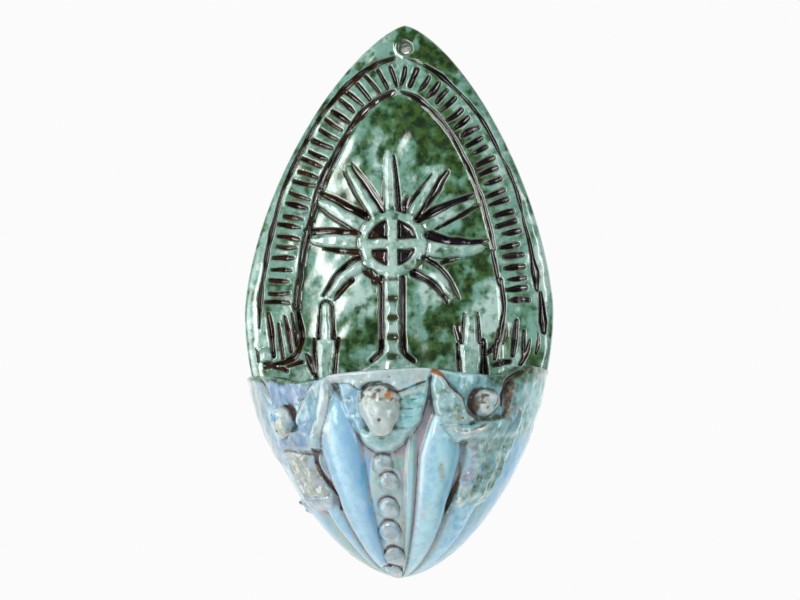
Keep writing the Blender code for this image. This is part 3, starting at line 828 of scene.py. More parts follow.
class Relief:
    """The outside of the bowl while it is modelled, over a grid of turns and heights: how far each point
    stands clear of the plain face, and how much of each tint lies on it."""

    def __init__(self, turn, z):
        self.turn, self.z = turn, z
        self.u = along_bowl(turn, z)
        self.lift, self.across = lobe_rise(turn, z)
        self.tints = {name: np.zeros_like(z) for name in TINTS}
        self.tints["lobe"] = np.clip(self.lift / 3, 0, 1)
        self.unevenness = wander(self.u, z, 8, 71)

    def place(self, marks):
        """Marks given as turns and heights, as millimetres along and up the bowl."""
        turn, z = np.array(marks, float).T
        return np.stack([along_bowl(turn, z), z], axis=-1)

    def turned(self, low, high):
        """1 between two turns, 0 elsewhere."""
        return (self.turn > low) * (self.turn < high)

    def under(self, start, end):
        """A soft step down the bowl: 0 down to the first depth below the mount point, 1 from the second."""
        return between(-self.z, start, end)

    def mottle(self, size, seed, gain, shift=0.0):
        """Uneven blotches of about this size, from 0 to 1."""
        return np.clip(gain * wander(self.u, self.z, size, seed) + shift, 0, 1)

    def inside(self, marks):
        """How far each point lies inside a closed smooth outline; negative outside it."""
        ring = ring_through(self.place(marks))
        low, high = ring.min(axis=0) - 5, ring.max(axis=0) + 5
        near = (self.u > low[0]) & (self.u < high[0]) & (self.z > low[1]) & (self.z < high[1])
        x, z = self.u[near], self.z[near]
        away = nearest(np.concatenate([ring, ring[:1]]), x, z)[0]
        within = np.zeros(x.shape, bool)
        for (ax, az), (bx, bz) in zip(ring, np.roll(ring, -1, axis=0)):
            within ^= ((az > z) != (bz > z)) & (x < ax + (z - az) * (bx - ax) / (bz - az + 1e-12))
        depth = np.full(self.z.shape, -5.0)
        depth[near] = np.where(within, away, -away)
        return depth

    def paint(self, share, **tints):
        """Lays tints over what is there, by a share from 0 to 1."""
        for name, value in tints.items():
            self.tints[name] += share * (value - self.tints[name])

    def press(self, marks, low, high, reach=5.0, edge=1.8, **tints):
        """Lays clay inside an outline: its rounded edge climbs to low and its middle swells to high."""
        depth = self.inside(marks) + 0.3 * self.unevenness
        climbed = np.sqrt(1 - (1 - np.clip(depth / edge, 0, 1)) ** 2)
        swell = np.sqrt(1 - (1 - np.clip(depth / reach, 0, 1)) ** 2)
        level = low + (high - low) * swell
        self.lift += climbed * (level - self.lift)
        self.paint(smooth(depth / 0.8 + 0.5), **{**BARE_CLAY, **tints})

    def stain(self, marks, widths, **tints):
        """Tints a stripe through some marks, without any clay. It lays stains and seams, and in places
        painted shade and painted highlights.
        """
        clay = Clay(self.u, self.z)
        clay.cut(spline(self.place(marks), 24), widths, (1.0, 1.0), flat=2.0)
        self.paint(np.clip(clay.depth * 1.6, 0, 1), **tints)

    def line(self, marks, widths, depths, steep=0.0, **tints):
        """Draws a groove through some marks, or a ridge where depths are negative."""
        clay = Clay(self.u, self.z)
        cuts = np.abs(depths)
        clay.cut(spline(self.place(marks), 30), widths, cuts, steep)
        self.lift += clay.depth if min(depths) < 0 else -clay.depth
        self.paint(np.clip(clay.depth / cuts.max() * 1.5, 0, 1), **tints)

    def folds(self, folds, widths, tail):
        """Grooves, or ridges where a depth is negative, that are deepest in their middle."""
        for marks, deep in folds:
            self.line(marks, widths, (0.5 * deep, deep, tail * deep))

    def dome(self, turn, z, radii, rise, **tints):
        """A low swelling, or a dent where rise is negative."""
        at_u, at_z = self.place(((turn, z),))[0]
        away = np.hypot((self.u - at_u) / radii[0], (self.z - at_z) / radii[1])
        share = np.clip(1 - away**2, 0, 1)
        self.lift += rise * share**0.75
        self.paint(smooth(1.6 * share), **tints)


# Bosses from the top one down: turn, height, radius.
BOSSES = (
    (-2.0, -244.3, 6.1),
    (0.3, -254.9, 6.0),
    (-1.2, -270.2, 6.4),
    (-1.9, -284.2, 6.5),
    (-0.9, -299.4, 6.0),
    (-8.0, -309.0, 4.4),
)


def model_lip(r):
    """The thick pale lip, whose lower edge is a brown seam that dips on both sides of the cherub's head."""
    edge = np.interp(r.turn, *np.array(LIP).T)
    shown = between(r.turn, -24, -20) * between(-r.turn, -19, -16)
    over = shown * smooth((r.z - edge) / 1.4 + 0.3)
    r.lift += over * (5.6 - r.lift)
    r.paint(over, figure=1, cream=0.3, lilac=0.1, azure=0.1, teal=0.45, pale=0.6, brown=0, rust=0)
    r.stain(((-21, -190.8), (-13, -190.4), (-6, -190)), (3, 4.6, 3), lilac=0.9, teal=0)
    r.stain(tuple((at, height - 0.7) for at, height in LIP[1:-1]), (1.5, 1.2, 1.8), brown=1)
    r.stain(((-27, -193.6), (-20, -193.4), (-14, -193.8)), (1.6, 3, 1.2), rust=0.5, cream=0.6, brown=0.25)


# The grooves between the cherub's feathers.
RIGHT_FEATHERS = (
    ((6, -206.6), (11, -206.4), (15.6, -204.8)),
    ((6, -216.3), (10, -216.6), (14.6, -214.8)),
    ((5, -211.6), (10, -211.8), (15, -210.2)),
    ((3.6, -223.4), (8, -223.4), (12, -222)),
)
LEFT_FEATHERS = (
    ((-16.6, -205.5), (-12.5, -206)),
    ((-15.4, -214.5), (-11, -215.5)),
)

# The cherub's cheeks, eye hollows and nose: turn, height, half-width, half-height, rise.
CHERUB_FACE = (
    (-4.9, -219.5, 5.4, 5.6, 0.8),
    (2.2, -219.5, 5, 5.4, 0.8),
    (-4.6, -211.8, 3.8, 2.4, -0.5),
    (1.8, -211.8, 3.6, 2.4, -0.5),
    (-1.3, -215.5, 2, 4.6, 0.6),
)


def model_cherub(r):
    """The cherub: two short feathered wings, a crescent collar, and an egg of a head with round cheeks
    under a crown of speckled hair."""
    r.press(((-16.2, -193.5), (-11, -192.5), (-7, -200), (-6, -211), (-7, -219), (-7.5, -226.5),
        (-11.7, -226.5), (-13.2, -221), (-15.2, -216), (-16.6, -207), (-17.8, -197)), 3.6, 5.8, edge=2.4,
        azure=0.6, teal=0.7)
    r.press(((3, -199), (8, -197.6), (12.5, -194.4), (16.2, -192), (17, -198), (16.5, -205), (15.4, -212),
        (14.3, -219.5), (11, -224.8), (6, -226), (2.5, -222), (3, -212)), 3.8, 6.2, edge=2.4, teal=0.9)
    for feather in RIGHT_FEATHERS:
        r.line(feather, (1.4, 3, 1.6), (0.6, 1.4, 0.6), steep=0.6)
        r.stain(feather, (0.8, 1.2, 0.8), green=0.5, brown=0.2)
    for feather in LEFT_FEATHERS:
        r.line(feather, (1.8, 2.6), (0.5, 1.1))
    r.stain(((6.4, -204), (11.5, -201.6), (15.4, -199)), (1.6, 2, 1.6), cream=0.8, teal=0.1, pale=1)
    r.stain(((3.4, -223), (6.4, -226.6), (11.4, -225.4), (14.2, -220.4)), (1, 1.4, 1.4, 1), brown=0.6,
        green=0.4)
    r.stain(((16.6, -200), (16.4, -206), (15.4, -212), (14.2, -219)), (1, 1.3, 0.6), brown=0.9)
    r.press(((-10.8, -225.4), (-9.9, -230.5), (-7.6, -234.6), (-4.6, -237.3), (-0.4, -238.1), (3.6, -236.4),
        (7, -232.8), (9.4, -228.4), (11.2, -223.2), (7.5, -222.6), (3, -222), (-2.6, -224), (-7, -223.5)),
        4, 8.2, 8, 3.2, teal=0.6, cream=0.15, azure=0.15)
    r.press(((-9.4, -209.5), (-8.6, -203), (-5.6, -198.8), (-1.4, -197.4), (2.8, -198.9), (5.4, -202.8),
        (6.1, -209), (5.6, -216), (3.9, -222.8), (0.9, -227.8), (-2.5, -228.6), (-5.6, -226),
        (-7.7, -220.5), (-9.1, -215)), 6, 13.5, 12, 2.6, cream=0.5, azure=0.3, lilac=0.05, teal=0.15,
        pale=0.4)
    for turn, z, wide, tall, rise in CHERUB_FACE:
        r.dome(turn, z, (wide, tall), rise)
    r.dome(-1.3, -218.6, (1.7, 1.6), -1.2, brown=0.9)
    r.dome(-2.2, -217.6, (1.5, 1.2), 0, rust=0.7)
    r.dome(-1.5, -224.4, (2.2, 1.3), -0.4, rust=0.35)
    r.stain(((5.9, -202), (6.6, -209), (6, -216.5), (4.2, -223.2), (0.8, -228.4), (-2.8, -229.2),
        (-6.2, -226.6)), (0.8, 1.4, 1.2, 1.3, 1.4, 1.6, 1.2), brown=0.45, green=0.5)
    r.stain(((-9.8, -208), (-9.6, -215), (-8, -221.5)), (0.7, 1, 0.8), brown=0.4)
    crown = between(r.z, -211, -207) * (r.lift > 6.4) * r.turned(-10, 7)
    r.lift += crown * 0.4 * wander(r.u, r.z, 2.6, 81)
    r.paint(crown * r.mottle(1.8, 82, 3.6, 0.4), brown=0.95, cream=0.9, pale=0)
    r.paint(crown * r.mottle(2.4, 83, 1.8, -0.6), rust=0.7)
    speckled = between(-r.turn, 3, 7) * between(r.z, -214, -208) * (r.lift > 6.4) * (r.turn > -9.6)
    r.paint(speckled * r.mottle(2, 87, 3, -0.6), brown=0.9)
    r.dome(2.4, -204.2, (3.4, 3), 0, rust=0.66, brown=0.3)
    r.dome(-2.4, -203.4, (2.2, 1.4), 0, rust=0.6)
    r.stain(((-2.8, -217.4), (-1.2, -216.6), (0.6, -217.8)), (1, 1.4, 1), cream=1, rust=0.35)
    r.dome(-18.8, -195.6, (3.2, 4.6), 2.2, figure=1, lilac=1, pale=0.8, brown=0, green=0, azure=0, teal=0)
    r.stain(((17.4, -195), (17.6, -201), (17.2, -208)), (1.6, 2.6, 1.8), figure=1, lilac=1, brown=0, teal=0,
        azure=0, pale=0.5)


def model_bosses(r):
    """The row of bosses down the middle strip. Each sits in a hollow under an arched brown groove."""
    for turn, z, radius in BOSSES:
        reach = math.degrees(radius / half_width(z))
        shares = ((-1.02, 0.2), (-0.68, 0.84), (0, 1.14), (0.68, 0.84), (1.02, 0.2))
        arch = tuple((turn + across * reach, z + up * radius) for across, up in shares)
        r.line(arch, (1, 2, 2.4, 2, 1), (0.4, 1.3, 1.8, 1.3, 0.4))
        r.stain(arch, (0.8, 1.3, 1.7, 1.3, 0.8), brown=0.75)
        above = tuple((t, h + 0.34 * radius) for t, h in arch[1:-1])
        r.line(above, (1.5, 2.6, 1.5), (-0.2, -0.8, -0.2))
        at_u, at_z = r.place(((turn, z),))[0]
        away = np.hypot(r.u - at_u, r.z - at_z) / radius + 0.03 * r.unevenness
        ball = np.sqrt(np.clip(1 - away**2, 0, 1))
        r.lift = np.where(away < 1, np.maximum(r.lift, 1.6 + 0.55 * radius * ball), r.lift)
        r.paint(smooth(6 * (1 - away)), figure=1, cream=0.35, azure=0.25, lilac=0.3, brown=0)
        r.paint(np.exp(-(((away - 1.02) / 0.09) ** 2)) * (r.unevenness > -0.6), brown=0.62)


# Folds in the left angel's robe: marks from top to bottom, and the depth, which is negative for a ridge.
LEFT_ROBE_FOLDS = (
    (((-51.5, -240), (-51, -252), (-48.5, -266)), -1.2),
    (((-46, -238), (-44, -250), (-43, -262)), 0.9),
    (((-40, -240), (-38.5, -250), (-39, -262)), -0.8),
    (((-35.6, -240), (-35, -250), (-34.6, -262)), 0.6),
)


def model_left_angel(r):
    """The angel on the viewer's left: outer wing, petals of the rim behind the head, cupped inner wing that
    runs on into the sleeve, robe, feet and head."""
    r.press(((-73, -189), (-62.5, -193.5), (-58.5, -201), (-56, -208), (-60.5, -212), (-61.5, -219),
        (-60, -227), (-57, -233), (-58, -242), (-66, -246), (-80, -236), (-86, -212), (-84, -192)), 3, 3.8,
        8, 2.6, figure=0.6, lilac=0.6, cream=0.3)
    r.line(((-66, -190.5), (-60, -195.5), (-56.3, -202), (-54.5, -207.5)), (2.4, 3.6, 3, 2),
        (1.2, 2.4, 2.2, 1))
    r.stain(((-66, -190.5), (-59.4, -195.5), (-55.8, -202), (-54.2, -208.5)), (3, 3.4, 2.6, 1.8),
        brown=0.42, green=0.3, cream=0.8)
    r.press(((-56.5, -193.5), (-51, -190), (-44, -191.6), (-38.8, -193.5), (-36, -203), (-38, -209),
        (-47, -210), (-53.5, -209)), 1, 2, 8, 2.2, azure=1, lilac=0.25)
    r.press(((-37.8, -194.5), (-30, -194), (-22, -192.5), (-28, -200), (-34, -206.5), (-36, -205)), 1.4,
        2.6, 5, 2, azure=0.9, lilac=0.35)
    r.stain(((-45, -193), (-42, -200), (-41, -206)), (3.5, 5.5, 4), lilac=0.8, azure=0.6)
    r.stain(((-38.6, -194.5), (-36.6, -200), (-35.4, -205)), (1.2, 2.2, 1.8), lilac=1, azure=0.2)
    r.press(((-55.5, -236), (-54.5, -247), (-54.8, -257), (-58, -268), (-49, -271.8), (-39, -270.2),
        (-33.4, -268.4), (-32.4, -262), (-35, -254), (-35.8, -246), (-37.4, -238), (-43, -234)), 3.6, 8.4,
        9, 3.2, cream=0.8, lilac=0.3, azure=0.2)
    robe = between(r.lift, 4, 6) * r.turned(-58, -30) * r.under(236, 240)
    r.lift += robe * (0.5 * wander(r.u * 1.4, r.z * 0.7, 8, 88) + 0.08 * wander(r.u, r.z, 3.2, 89))
    r.paint(robe * r.mottle(10, 93, 1.1), cream=0.9, brown=0.12, green=0.1)
    r.paint(robe * r.mottle(10, 94, 1.3, -0.2), azure=0.4, lilac=0.6, cream=0.2, pale=0.6)
    r.folds(LEFT_ROBE_FOLDS, (2.5, 5, 3.5), 0.6)
    r.line(((-56, -262.2), (-47, -263.4), (-38, -263), (-30, -261.4)), (1.8, 3, 2.4), (0.8, 1.4, 1),
        brown=0.35)
    hem = r.inside(((-57, -262), (-59, -268), (-49, -271.8), (-38, -270.2), (-31.6, -268.4), (-29.8, -262),
        (-43, -263.4)))
    r.paint(smooth(hem + 0.5), cream=0.3, azure=0.4, lilac=0.4)
    r.press(((-20.2, -193.5), (-28, -197.3), (-33.2, -204), (-37, -211), (-39.2, -218), (-39.6, -222),
        (-45, -225), (-54, -228), (-57, -235), (-48, -235.2), (-37.5, -237), (-30.2, -235.5), (-26.8, -227),
        (-23.2, -219), (-20.4, -208)), 5, 7.4, 6, 2, azure=0.35, teal=0.3)
    r.press(((-54, -227.6), (-46, -225.6), (-40, -223.5), (-33, -220), (-27.5, -217), (-26.8, -226),
        (-29.8, -234.5), (-37.5, -237), (-48, -235.2), (-56, -236.2)), 6, 8.6, 8, 4.6, azure=0.75,
        lilac=0.4)
    r.line(((-21.4, -196), (-22.4, -206), (-25.2, -217), (-29, -227)), (5, 9, 10, 8),
        (-0.7, -1.3, -1.5, -0.9))
    r.stain(((-20.9, -196), (-21.8, -206), (-24.2, -217), (-28, -226)), (3, 6, 6.5, 6), cream=0.5, teal=0.6,
        azure=0.1)
    # The cupped inner wing; the azure in its cup is painted shade.
    r.dome(-32, -210.5, (8, 15), -3.2, azure=0.6, teal=0.3)
    r.stain(((-26, -198), (-31.5, -205), (-36.5, -214)), (1.6, 2.6, 2.4), cream=0.4, teal=0.5, azure=0.1)
    r.line(((-46, -225), (-38.6, -222.6), (-32.5, -219.2), (-28.2, -213)), (2.4, 4, 4, 2),
        (0.8, 1.3, 1, 0.3), azure=0.9)
    r.dome(-30.6, -231, (4.4, 4.6), 1.4, teal=1, azure=0.2, cream=0.1)
    r.stain(((-56, -237.2), (-48, -236), (-42, -236.8), (-36, -238), (-31, -236.6)), (1.2, 1.8, 2, 1.8),
        brown=0.75, green=0.3)
    r.stain(((-20.2, -201), (-20.6, -207), (-23, -217.4), (-26.4, -226), (-29.4, -235)),
        (1, 1.3, 1.4, 1.6, 1.6), brown=0.68)
    r.stain(((-52, -213), (-53.2, -219), (-52.4, -226)), (1, 1.4, 1), brown=0.6)
    # The gap beside the robe: its dark brown is painted shade on the robe's side wall, over a brown joint.
    r.line(((-32.6, -236), (-35, -242), (-34.6, -250), (-32, -257), (-29.8, -263), (-31, -269.5)),
        (3, 3.4, 3.4, 3.4, 3), (1.4, 2.2, 2.4, 2.2, 1.2))
    r.stain(((-32.6, -235.5), (-35.2, -242), (-34.9, -250), (-32.3, -257), (-30.1, -263), (-31.2, -270)),
        (3.8, 3.4, 3.1, 3.2, 3.6), brown=1)
    r.stain(((-31.2, -239), (-31, -248), (-28.4, -257)), (3, 4.8, 3), lilac=1, figure=1, pale=0.6)
    # Painted highlight: pale lavender down the lit top of the lobe beside the wing.
    r.stain(((-22.4, -201), (-22.6, -211), (-23.6, -222), (-24, -232)), (3, 7, 7, 3), lilac=0.5, pale=1,
        figure=0.75)
    r.press(((-50.6, -213.5), (-47, -210.6), (-43.6, -210), (-41.2, -212.4), (-40.8, -217), (-41.4, -222.6),
        (-43.2, -227), (-47.4, -228.4), (-51.2, -226.4), (-51.8, -217.5)), 7, 11.5, 7.5, 2.8, cream=0.9)
    r.stain(((-49.4, -217.4), (-46.8, -216.4), (-44.2, -215.6)), (6.4, 8, 5.4), azure=1, cream=0, pale=0,
        sky=0.6)
    speckled = between(r.lift, 7.5, 9) * r.turned(-53, -41) * r.under(210, 214) * (r.z > -229)
    r.paint(speckled * r.mottle(2.4, 98, 3, -0.9), brown=0.85)
    r.stain(((-43.2, -212.4), (-42.6, -217), (-43.6, -222)), (2.6, 3.4, 2.6), green=0.22, cream=1,
        brown=0.25)
    # Painted shade under the chin.
    r.stain(((-50.4, -227.8), (-47.6, -229.2), (-44, -228.4), (-42, -226)), (1.2, 1.8, 1.6, 1), brown=0.7)
    r.dome(-46, -220, (2.6, 3.4), 0.7)
    r.dome(-50, -219.5, (2.2, 3.4), 0.5)
    r.dome(-47.8, -224.8, (2.4, 1.6), 0.6, lilac=0.6)
    r.line(((-42.8, -209), (-40, -212), (-39.4, -217), (-40.6, -222.4), (-44, -226.8), (-48.6, -229)),
        (2.4, 3.6, 3, 2.4, 2, 1.4), (1.6, 3, 2, 1.2, 0.8, 0.4))
    r.stain(((-41.4, -215), (-41.6, -220), (-43.8, -225.6)), (1.6, 2.2, 1.6), azure=0.8, cream=0.2)
    # Painted shade: brown in the hollow round the head's right side.
    r.stain(((-46.6, -208.6), (-43.4, -209.2), (-41.2, -211.4), (-40.4, -215.4), (-40.8, -219)),
        (1.2, 2.8, 3.4, 2.2, 0.8), brown=0.95)
    r.stain(((-19.6, -194.2), (-19.2, -199)), (3.4, 3), figure=1, lilac=1, pale=0.8, brown=0, azure=0,
        teal=0)
    r.dome(-69, -267.2, (3, 2.4), 4.2, figure=1, brown=0.7, azure=0.3)
    r.dome(-71.5, -271.5, (2.4, 2.2), 3.6, figure=1, brown=0.7)
    r.dome(-62, -269, (4.4, 4), 2.4, figure=1, azure=0.6)


# Folds in the right angel's robe and sleeve.
RIGHT_ROBE_FOLDS = (
    (((43.5, -231), (45.5, -245), (44.5, -262)), 1.6),
    (((49, -228), (51, -244), (50.5, -264)), -1.2),
    (((54.5, -226), (56, -242), (55.5, -258)), 1.2),
    (((41.8, -232), (43, -243), (41.5, -256)), -0.9),
)
SLEEVE_FOLDS = (
    (((46.5, -219), (45.5, -225), (44, -231)), 1),
    (((53.5, -214), (52.5, -222), (51, -229)), 1.2),
    (((57.6, -212), (57.4, -220), (56.4, -229)), -0.7),
)

# Crumbs of clay on the right angel's robe: turn, height, half-width.
CRUMBS = ((46, -233.5, 2), (41, -233, 1.4), (50, -262, 1.8), (53, -249, 1.2))


def model_right_angel(r):
    """The angel on the viewer's right: inner and outer wing, robe, two arms in one curve, head and foot."""
    r.press(((20, -190), (30, -189), (43, -190), (51, -188), (58, -183), (57.6, -188.5), (52, -192),
        (49, -197), (48.5, -206), (49, -214), (40, -219), (33, -214), (27, -201)), 1.4, 2.8, 8, 2.4,
        teal=0.85, azure=0.2)
    r.press(((61, -183), (58, -190), (52.6, -196), (51.2, -204), (51, -214), (57.5, -215), (63.5, -216),
        (67, -206), (70, -190)), 3, 4.4, 7, 2.6, teal=0.7, green=0.3)
    r.line(((60, -187), (53.8, -191.5), (50.6, -197), (49.6, -204), (49.8, -212), (51.5, -218)),
        (1.6, 3.6, 4.8, 5.4, 5, 2.5), (0.6, 1.8, 2.8, 3, 2.2, 0.6))
    r.stain(((61, -187), (54.6, -191.8), (51.8, -197), (51.2, -204), (51.6, -212), (52.5, -218)),
        (1.4, 3.8, 6, 7.6, 7, 4), rust=0.42, brown=0.6, green=0.1, cream=1)
    # Painted shade: dark brown down the groove between head and outer wing, over brown glaze.
    r.stain(((58, -188.2), (52.8, -191.6), (50, -197), (49, -204), (49.2, -210)), (1.4, 3, 4.2, 3.6, 1.4),
        brown=1, rust=0)
    r.press(((35, -228), (36.6, -236), (38.4, -242), (38.8, -248), (37.4, -252), (37, -258), (36.8, -264),
        (38.5, -268.3), (45, -267.4), (52, -268.5), (57.5, -267.4), (60.4, -262), (61.4, -250),
        (62.6, -240), (63.5, -230), (63.5, -222), (50, -220), (43, -222)), 4, 6.8, 9, 3, teal=0.8,
        cream=0.3, green=0.25)
    robe = between(r.lift, 3.5, 5.5) * r.turned(33, 62) * r.under(230, 235)
    r.lift += robe * (0.7 * wander(r.u, r.z, 8, 84) + 0.2 * wander(r.u, r.z, 3.6, 85))
    r.paint(robe * r.mottle(9, 95, 1.8, -0.3), cream=0.9, green=0.2, brown=0.1)
    r.paint(robe * r.mottle(10, 96, 1.8, -0.3), teal=1, azure=0.3, cream=0)
    # Painted shade: lilac down the robe's left side.
    r.stain(((38.6, -232), (39.4, -243), (38.8, -256)), (4, 6, 4), lilac=1, cream=0.1, teal=0.1)
    r.folds(RIGHT_ROBE_FOLDS, (2.2, 4.5, 2.8), 0.6)
    flank, low = between(r.turn, 60, 66), r.under(222, 234)
    r.paint(flank * (1 - low) * r.under(188, 196), figure=0.9, teal=1, green=0.12)
    r.paint(flank * low, sky=1, green=0, cream=0)
    r.paint(between(r.turn, 37, 43) * r.under(264, 272), sky=0.8)
    r.stain(((-8.5, -236), (-11, -252), (-10, -272), (-8, -290)), (3, 7, 8, 4), sky=0.6)
    r.stain(((19.6, -234), (20.5, -246), (20, -262)), (3, 6, 4), sky=0.35)
    r.press(((22.2, -222), (24.6, -218.8), (28, -219), (31.5, -220.4), (36.3, -219.6), (41, -218.4),
        (46.6, -217), (51.8, -213.4), (55.4, -209), (59.8, -210.6), (61.4, -217.5), (60.2, -226.5),
        (51, -228.6), (43.5, -229.6), (38, -229.2), (33, -231), (28, -230.1), (24.4, -226.2)), 5.2, 9, 7.5,
        3.2, azure=0.15, teal=0.75, cream=0.1)
    r.folds(SLEEVE_FOLDS, (1.8, 3.4, 2), 0.4)
    # Painted highlights: pale along the arms' upper edges.
    r.stain(((24, -221.6), (30.8, -225.4), (36.3, -224.8), (41.2, -222)), (2.2, 3, 2.8, 1.6), cream=0.9,
        pale=1)
    r.stain(((52, -214.6), (55.6, -210.6), (59.2, -212.2), (60.2, -218)), (1.8, 2.6, 2.4, 1.6), cream=0.7,
        pale=0.9)
    r.stain(((24.6, -229.4), (29, -231.4), (34, -232), (38.5, -230)), (1, 1.6, 1.8, 1.2), brown=0.5)
    # Painted shade: lilac in the valley left of the robe.
    r.stain(((27.5, -231.4), (32, -232.8), (34.4, -238), (35.4, -246)), (2, 3, 4, 2.6), lilac=1, figure=0.7)
    r.press(((17.2, -193), (18.8, -190), (21.6, -193), (24.6, -199), (28.6, -203.6), (31, -208.6),
        (33, -213.6), (37, -217.6), (34, -221), (30, -222.2), (25.6, -221.4), (21.9, -219.6), (19.7, -214),
        (17.9, -206), (16.8, -199)), 4.8, 7.4, 5.5, 2.2, teal=0.7, azure=0.1, cream=0.15)
    wing = smooth(r.inside(((17.2, -199), (24.6, -201), (31, -211), (35, -218), (22.4, -219),
        (19, -211))) / 2)
    r.lift += wing * (0.7 * wander(r.u, r.z, 5, 86) + 0.5 * wander(r.u, r.z, 2.8, 90))
    r.paint(wing * r.under(204, 214) * r.mottle(5.5, 97, 1.8, -0.3), cream=0.8, green=0.2, brown=0.15)
    # Painted highlight: pale along the wing's right edge.
    r.stain(((18.6, -191.4), (24.2, -199.6), (29.4, -206.4), (32.4, -213.6), (36.4, -218.2)),
        (1.6, 2.2, 2.2, 2.4, 2.6), cream=0.8, pale=1)
    r.line(((21, -221.6), (26, -223), (31, -224.4), (36, -223)), (1.4, 2, 2, 1.4), (0.5, 0.9, 0.9, 0.5))
    r.stain(((20, -220.6), (26, -222.8), (31, -224.8), (36, -223.6), (41, -220.4)), (1, 1.5, 1.5, 1.4, 1.2),
        brown=0.75)
    r.stain(((17.6, -190), (19.4, -191), (21.8, -192.6)), (3, 4.8, 2.6), rust=1)
    r.press(((35.8, -208), (36, -203.2), (38.6, -200.8), (42.2, -200.6), (45.4, -203.8), (45.4, -210),
        (43, -215), (38.5, -215)), 5.5, 9, 6, 2.4, cream=0.6, lilac=0.2, azure=0.3)
    speckled = between(r.lift, 6.5, 8) * r.turned(35, 46) * r.under(200, 202) * (r.z > -215.5)
    r.paint(speckled * r.mottle(3.4, 99, 3, -0.4), brown=0.8, cream=1)
    face = r.inside(((36, -208), (38.6, -201), (42.2, -201), (45.2, -208), (43, -214.6), (38.5, -214.6)))
    r.lift += smooth(face / 1.5) * 0.6 * wander(r.u, r.z, 3, 100)
    # The head's left side: brown glaze with painted shade over it.
    r.stain(((37.6, -203.4), (35.9, -207.5), (36.4, -213)), (2.6, 4.8, 4), brown=0.66, lilac=0.3, cream=0.9,
        rust=0.3)
    r.stain(((42.4, -211.4), (43, -207.6), (43, -204)), (1.6, 2.8, 1.8), brown=0.62, rust=0.3, cream=0.8)
    r.stain(((41, -206.5), (42, -211), (44.4, -215)), (2.4, 3.2, 2), teal=1, azure=0.3, cream=0.1)
    # A small swelling with a painted highlight on it.
    r.dome(40.8, -205.4, (2.4, 2.6), 1.6, azure=0.3, cream=0.2, pale=1, brown=0)
    r.dome(40.4, -209, (2.6, 3.4), 0.8)
    r.dome(44.4, -208.4, (2.2, 2.8), 0.6, brown=0.5)
    # The hollow left of the head; its brown is painted shade.
    r.line(((37.6, -216.4), (34.6, -211.6), (33.8, -206), (35.2, -201), (38.4, -199)),
        (2, 4.2, 5, 4.2, 1.8), (0.8, 2.4, 3.2, 2.4, 0.8))
    r.stain(((38, -215.6), (34.9, -211.4), (34.2, -206), (35.6, -201.4), (39, -199.4)), (1.2, 3, 4, 3, 1),
        brown=1)
    r.stain(((36.4, -200.4), (39.6, -200.4), (43, -201)), (1, 2.4, 1.4), rust=0.4, brown=0.4)
    r.stain(((36, -217), (40, -217.8), (45, -217.4), (49.6, -215.4)), (2.4, 3.4, 3.8, 3.4), rust=0.36,
        green=0.6, brown=0.3, cream=0.5)
    r.line(((34.6, -243), (35.6, -251), (35.6, -260), (35, -270)), (1.2, 2.4, 4, 7), (0.8, 2.2, 2.8, 1.6),
        steep=0.5)
    r.stain(((34.8, -242), (36, -251), (35.8, -260), (35.2, -267), (33.6, -276)), (0.9, 1.7, 2.6, 2.6, 0.3),
        brown=0.9, green=0.5)
    r.dome(39.4, -266.4, (2.8, 2.6), 2.4, cream=0.9, azure=0.3, teal=0)
    r.dome(24.6, -247.5, (2.6, 6.4), 0, green=0.35, cream=0.8, figure=0.6)
    for turn, z, size in CRUMBS:
        r.dome(turn, z, (size, 0.8 * size), 0.8, brown=0.5, cream=1)


# Pinholes where the glaze crawled: turn, height, radius.
PINHOLES = (
    (2.2, -193.6, 0.9),
    (-0.6, -206.5, 0.6),
    (12, -225.8, 0.8),
    (14.4, -224.8, 0.7),
    (-43.5, -216, 0.5),
    (-26, -226, 0.6),
    (-13.5, -244, 0.5),
)


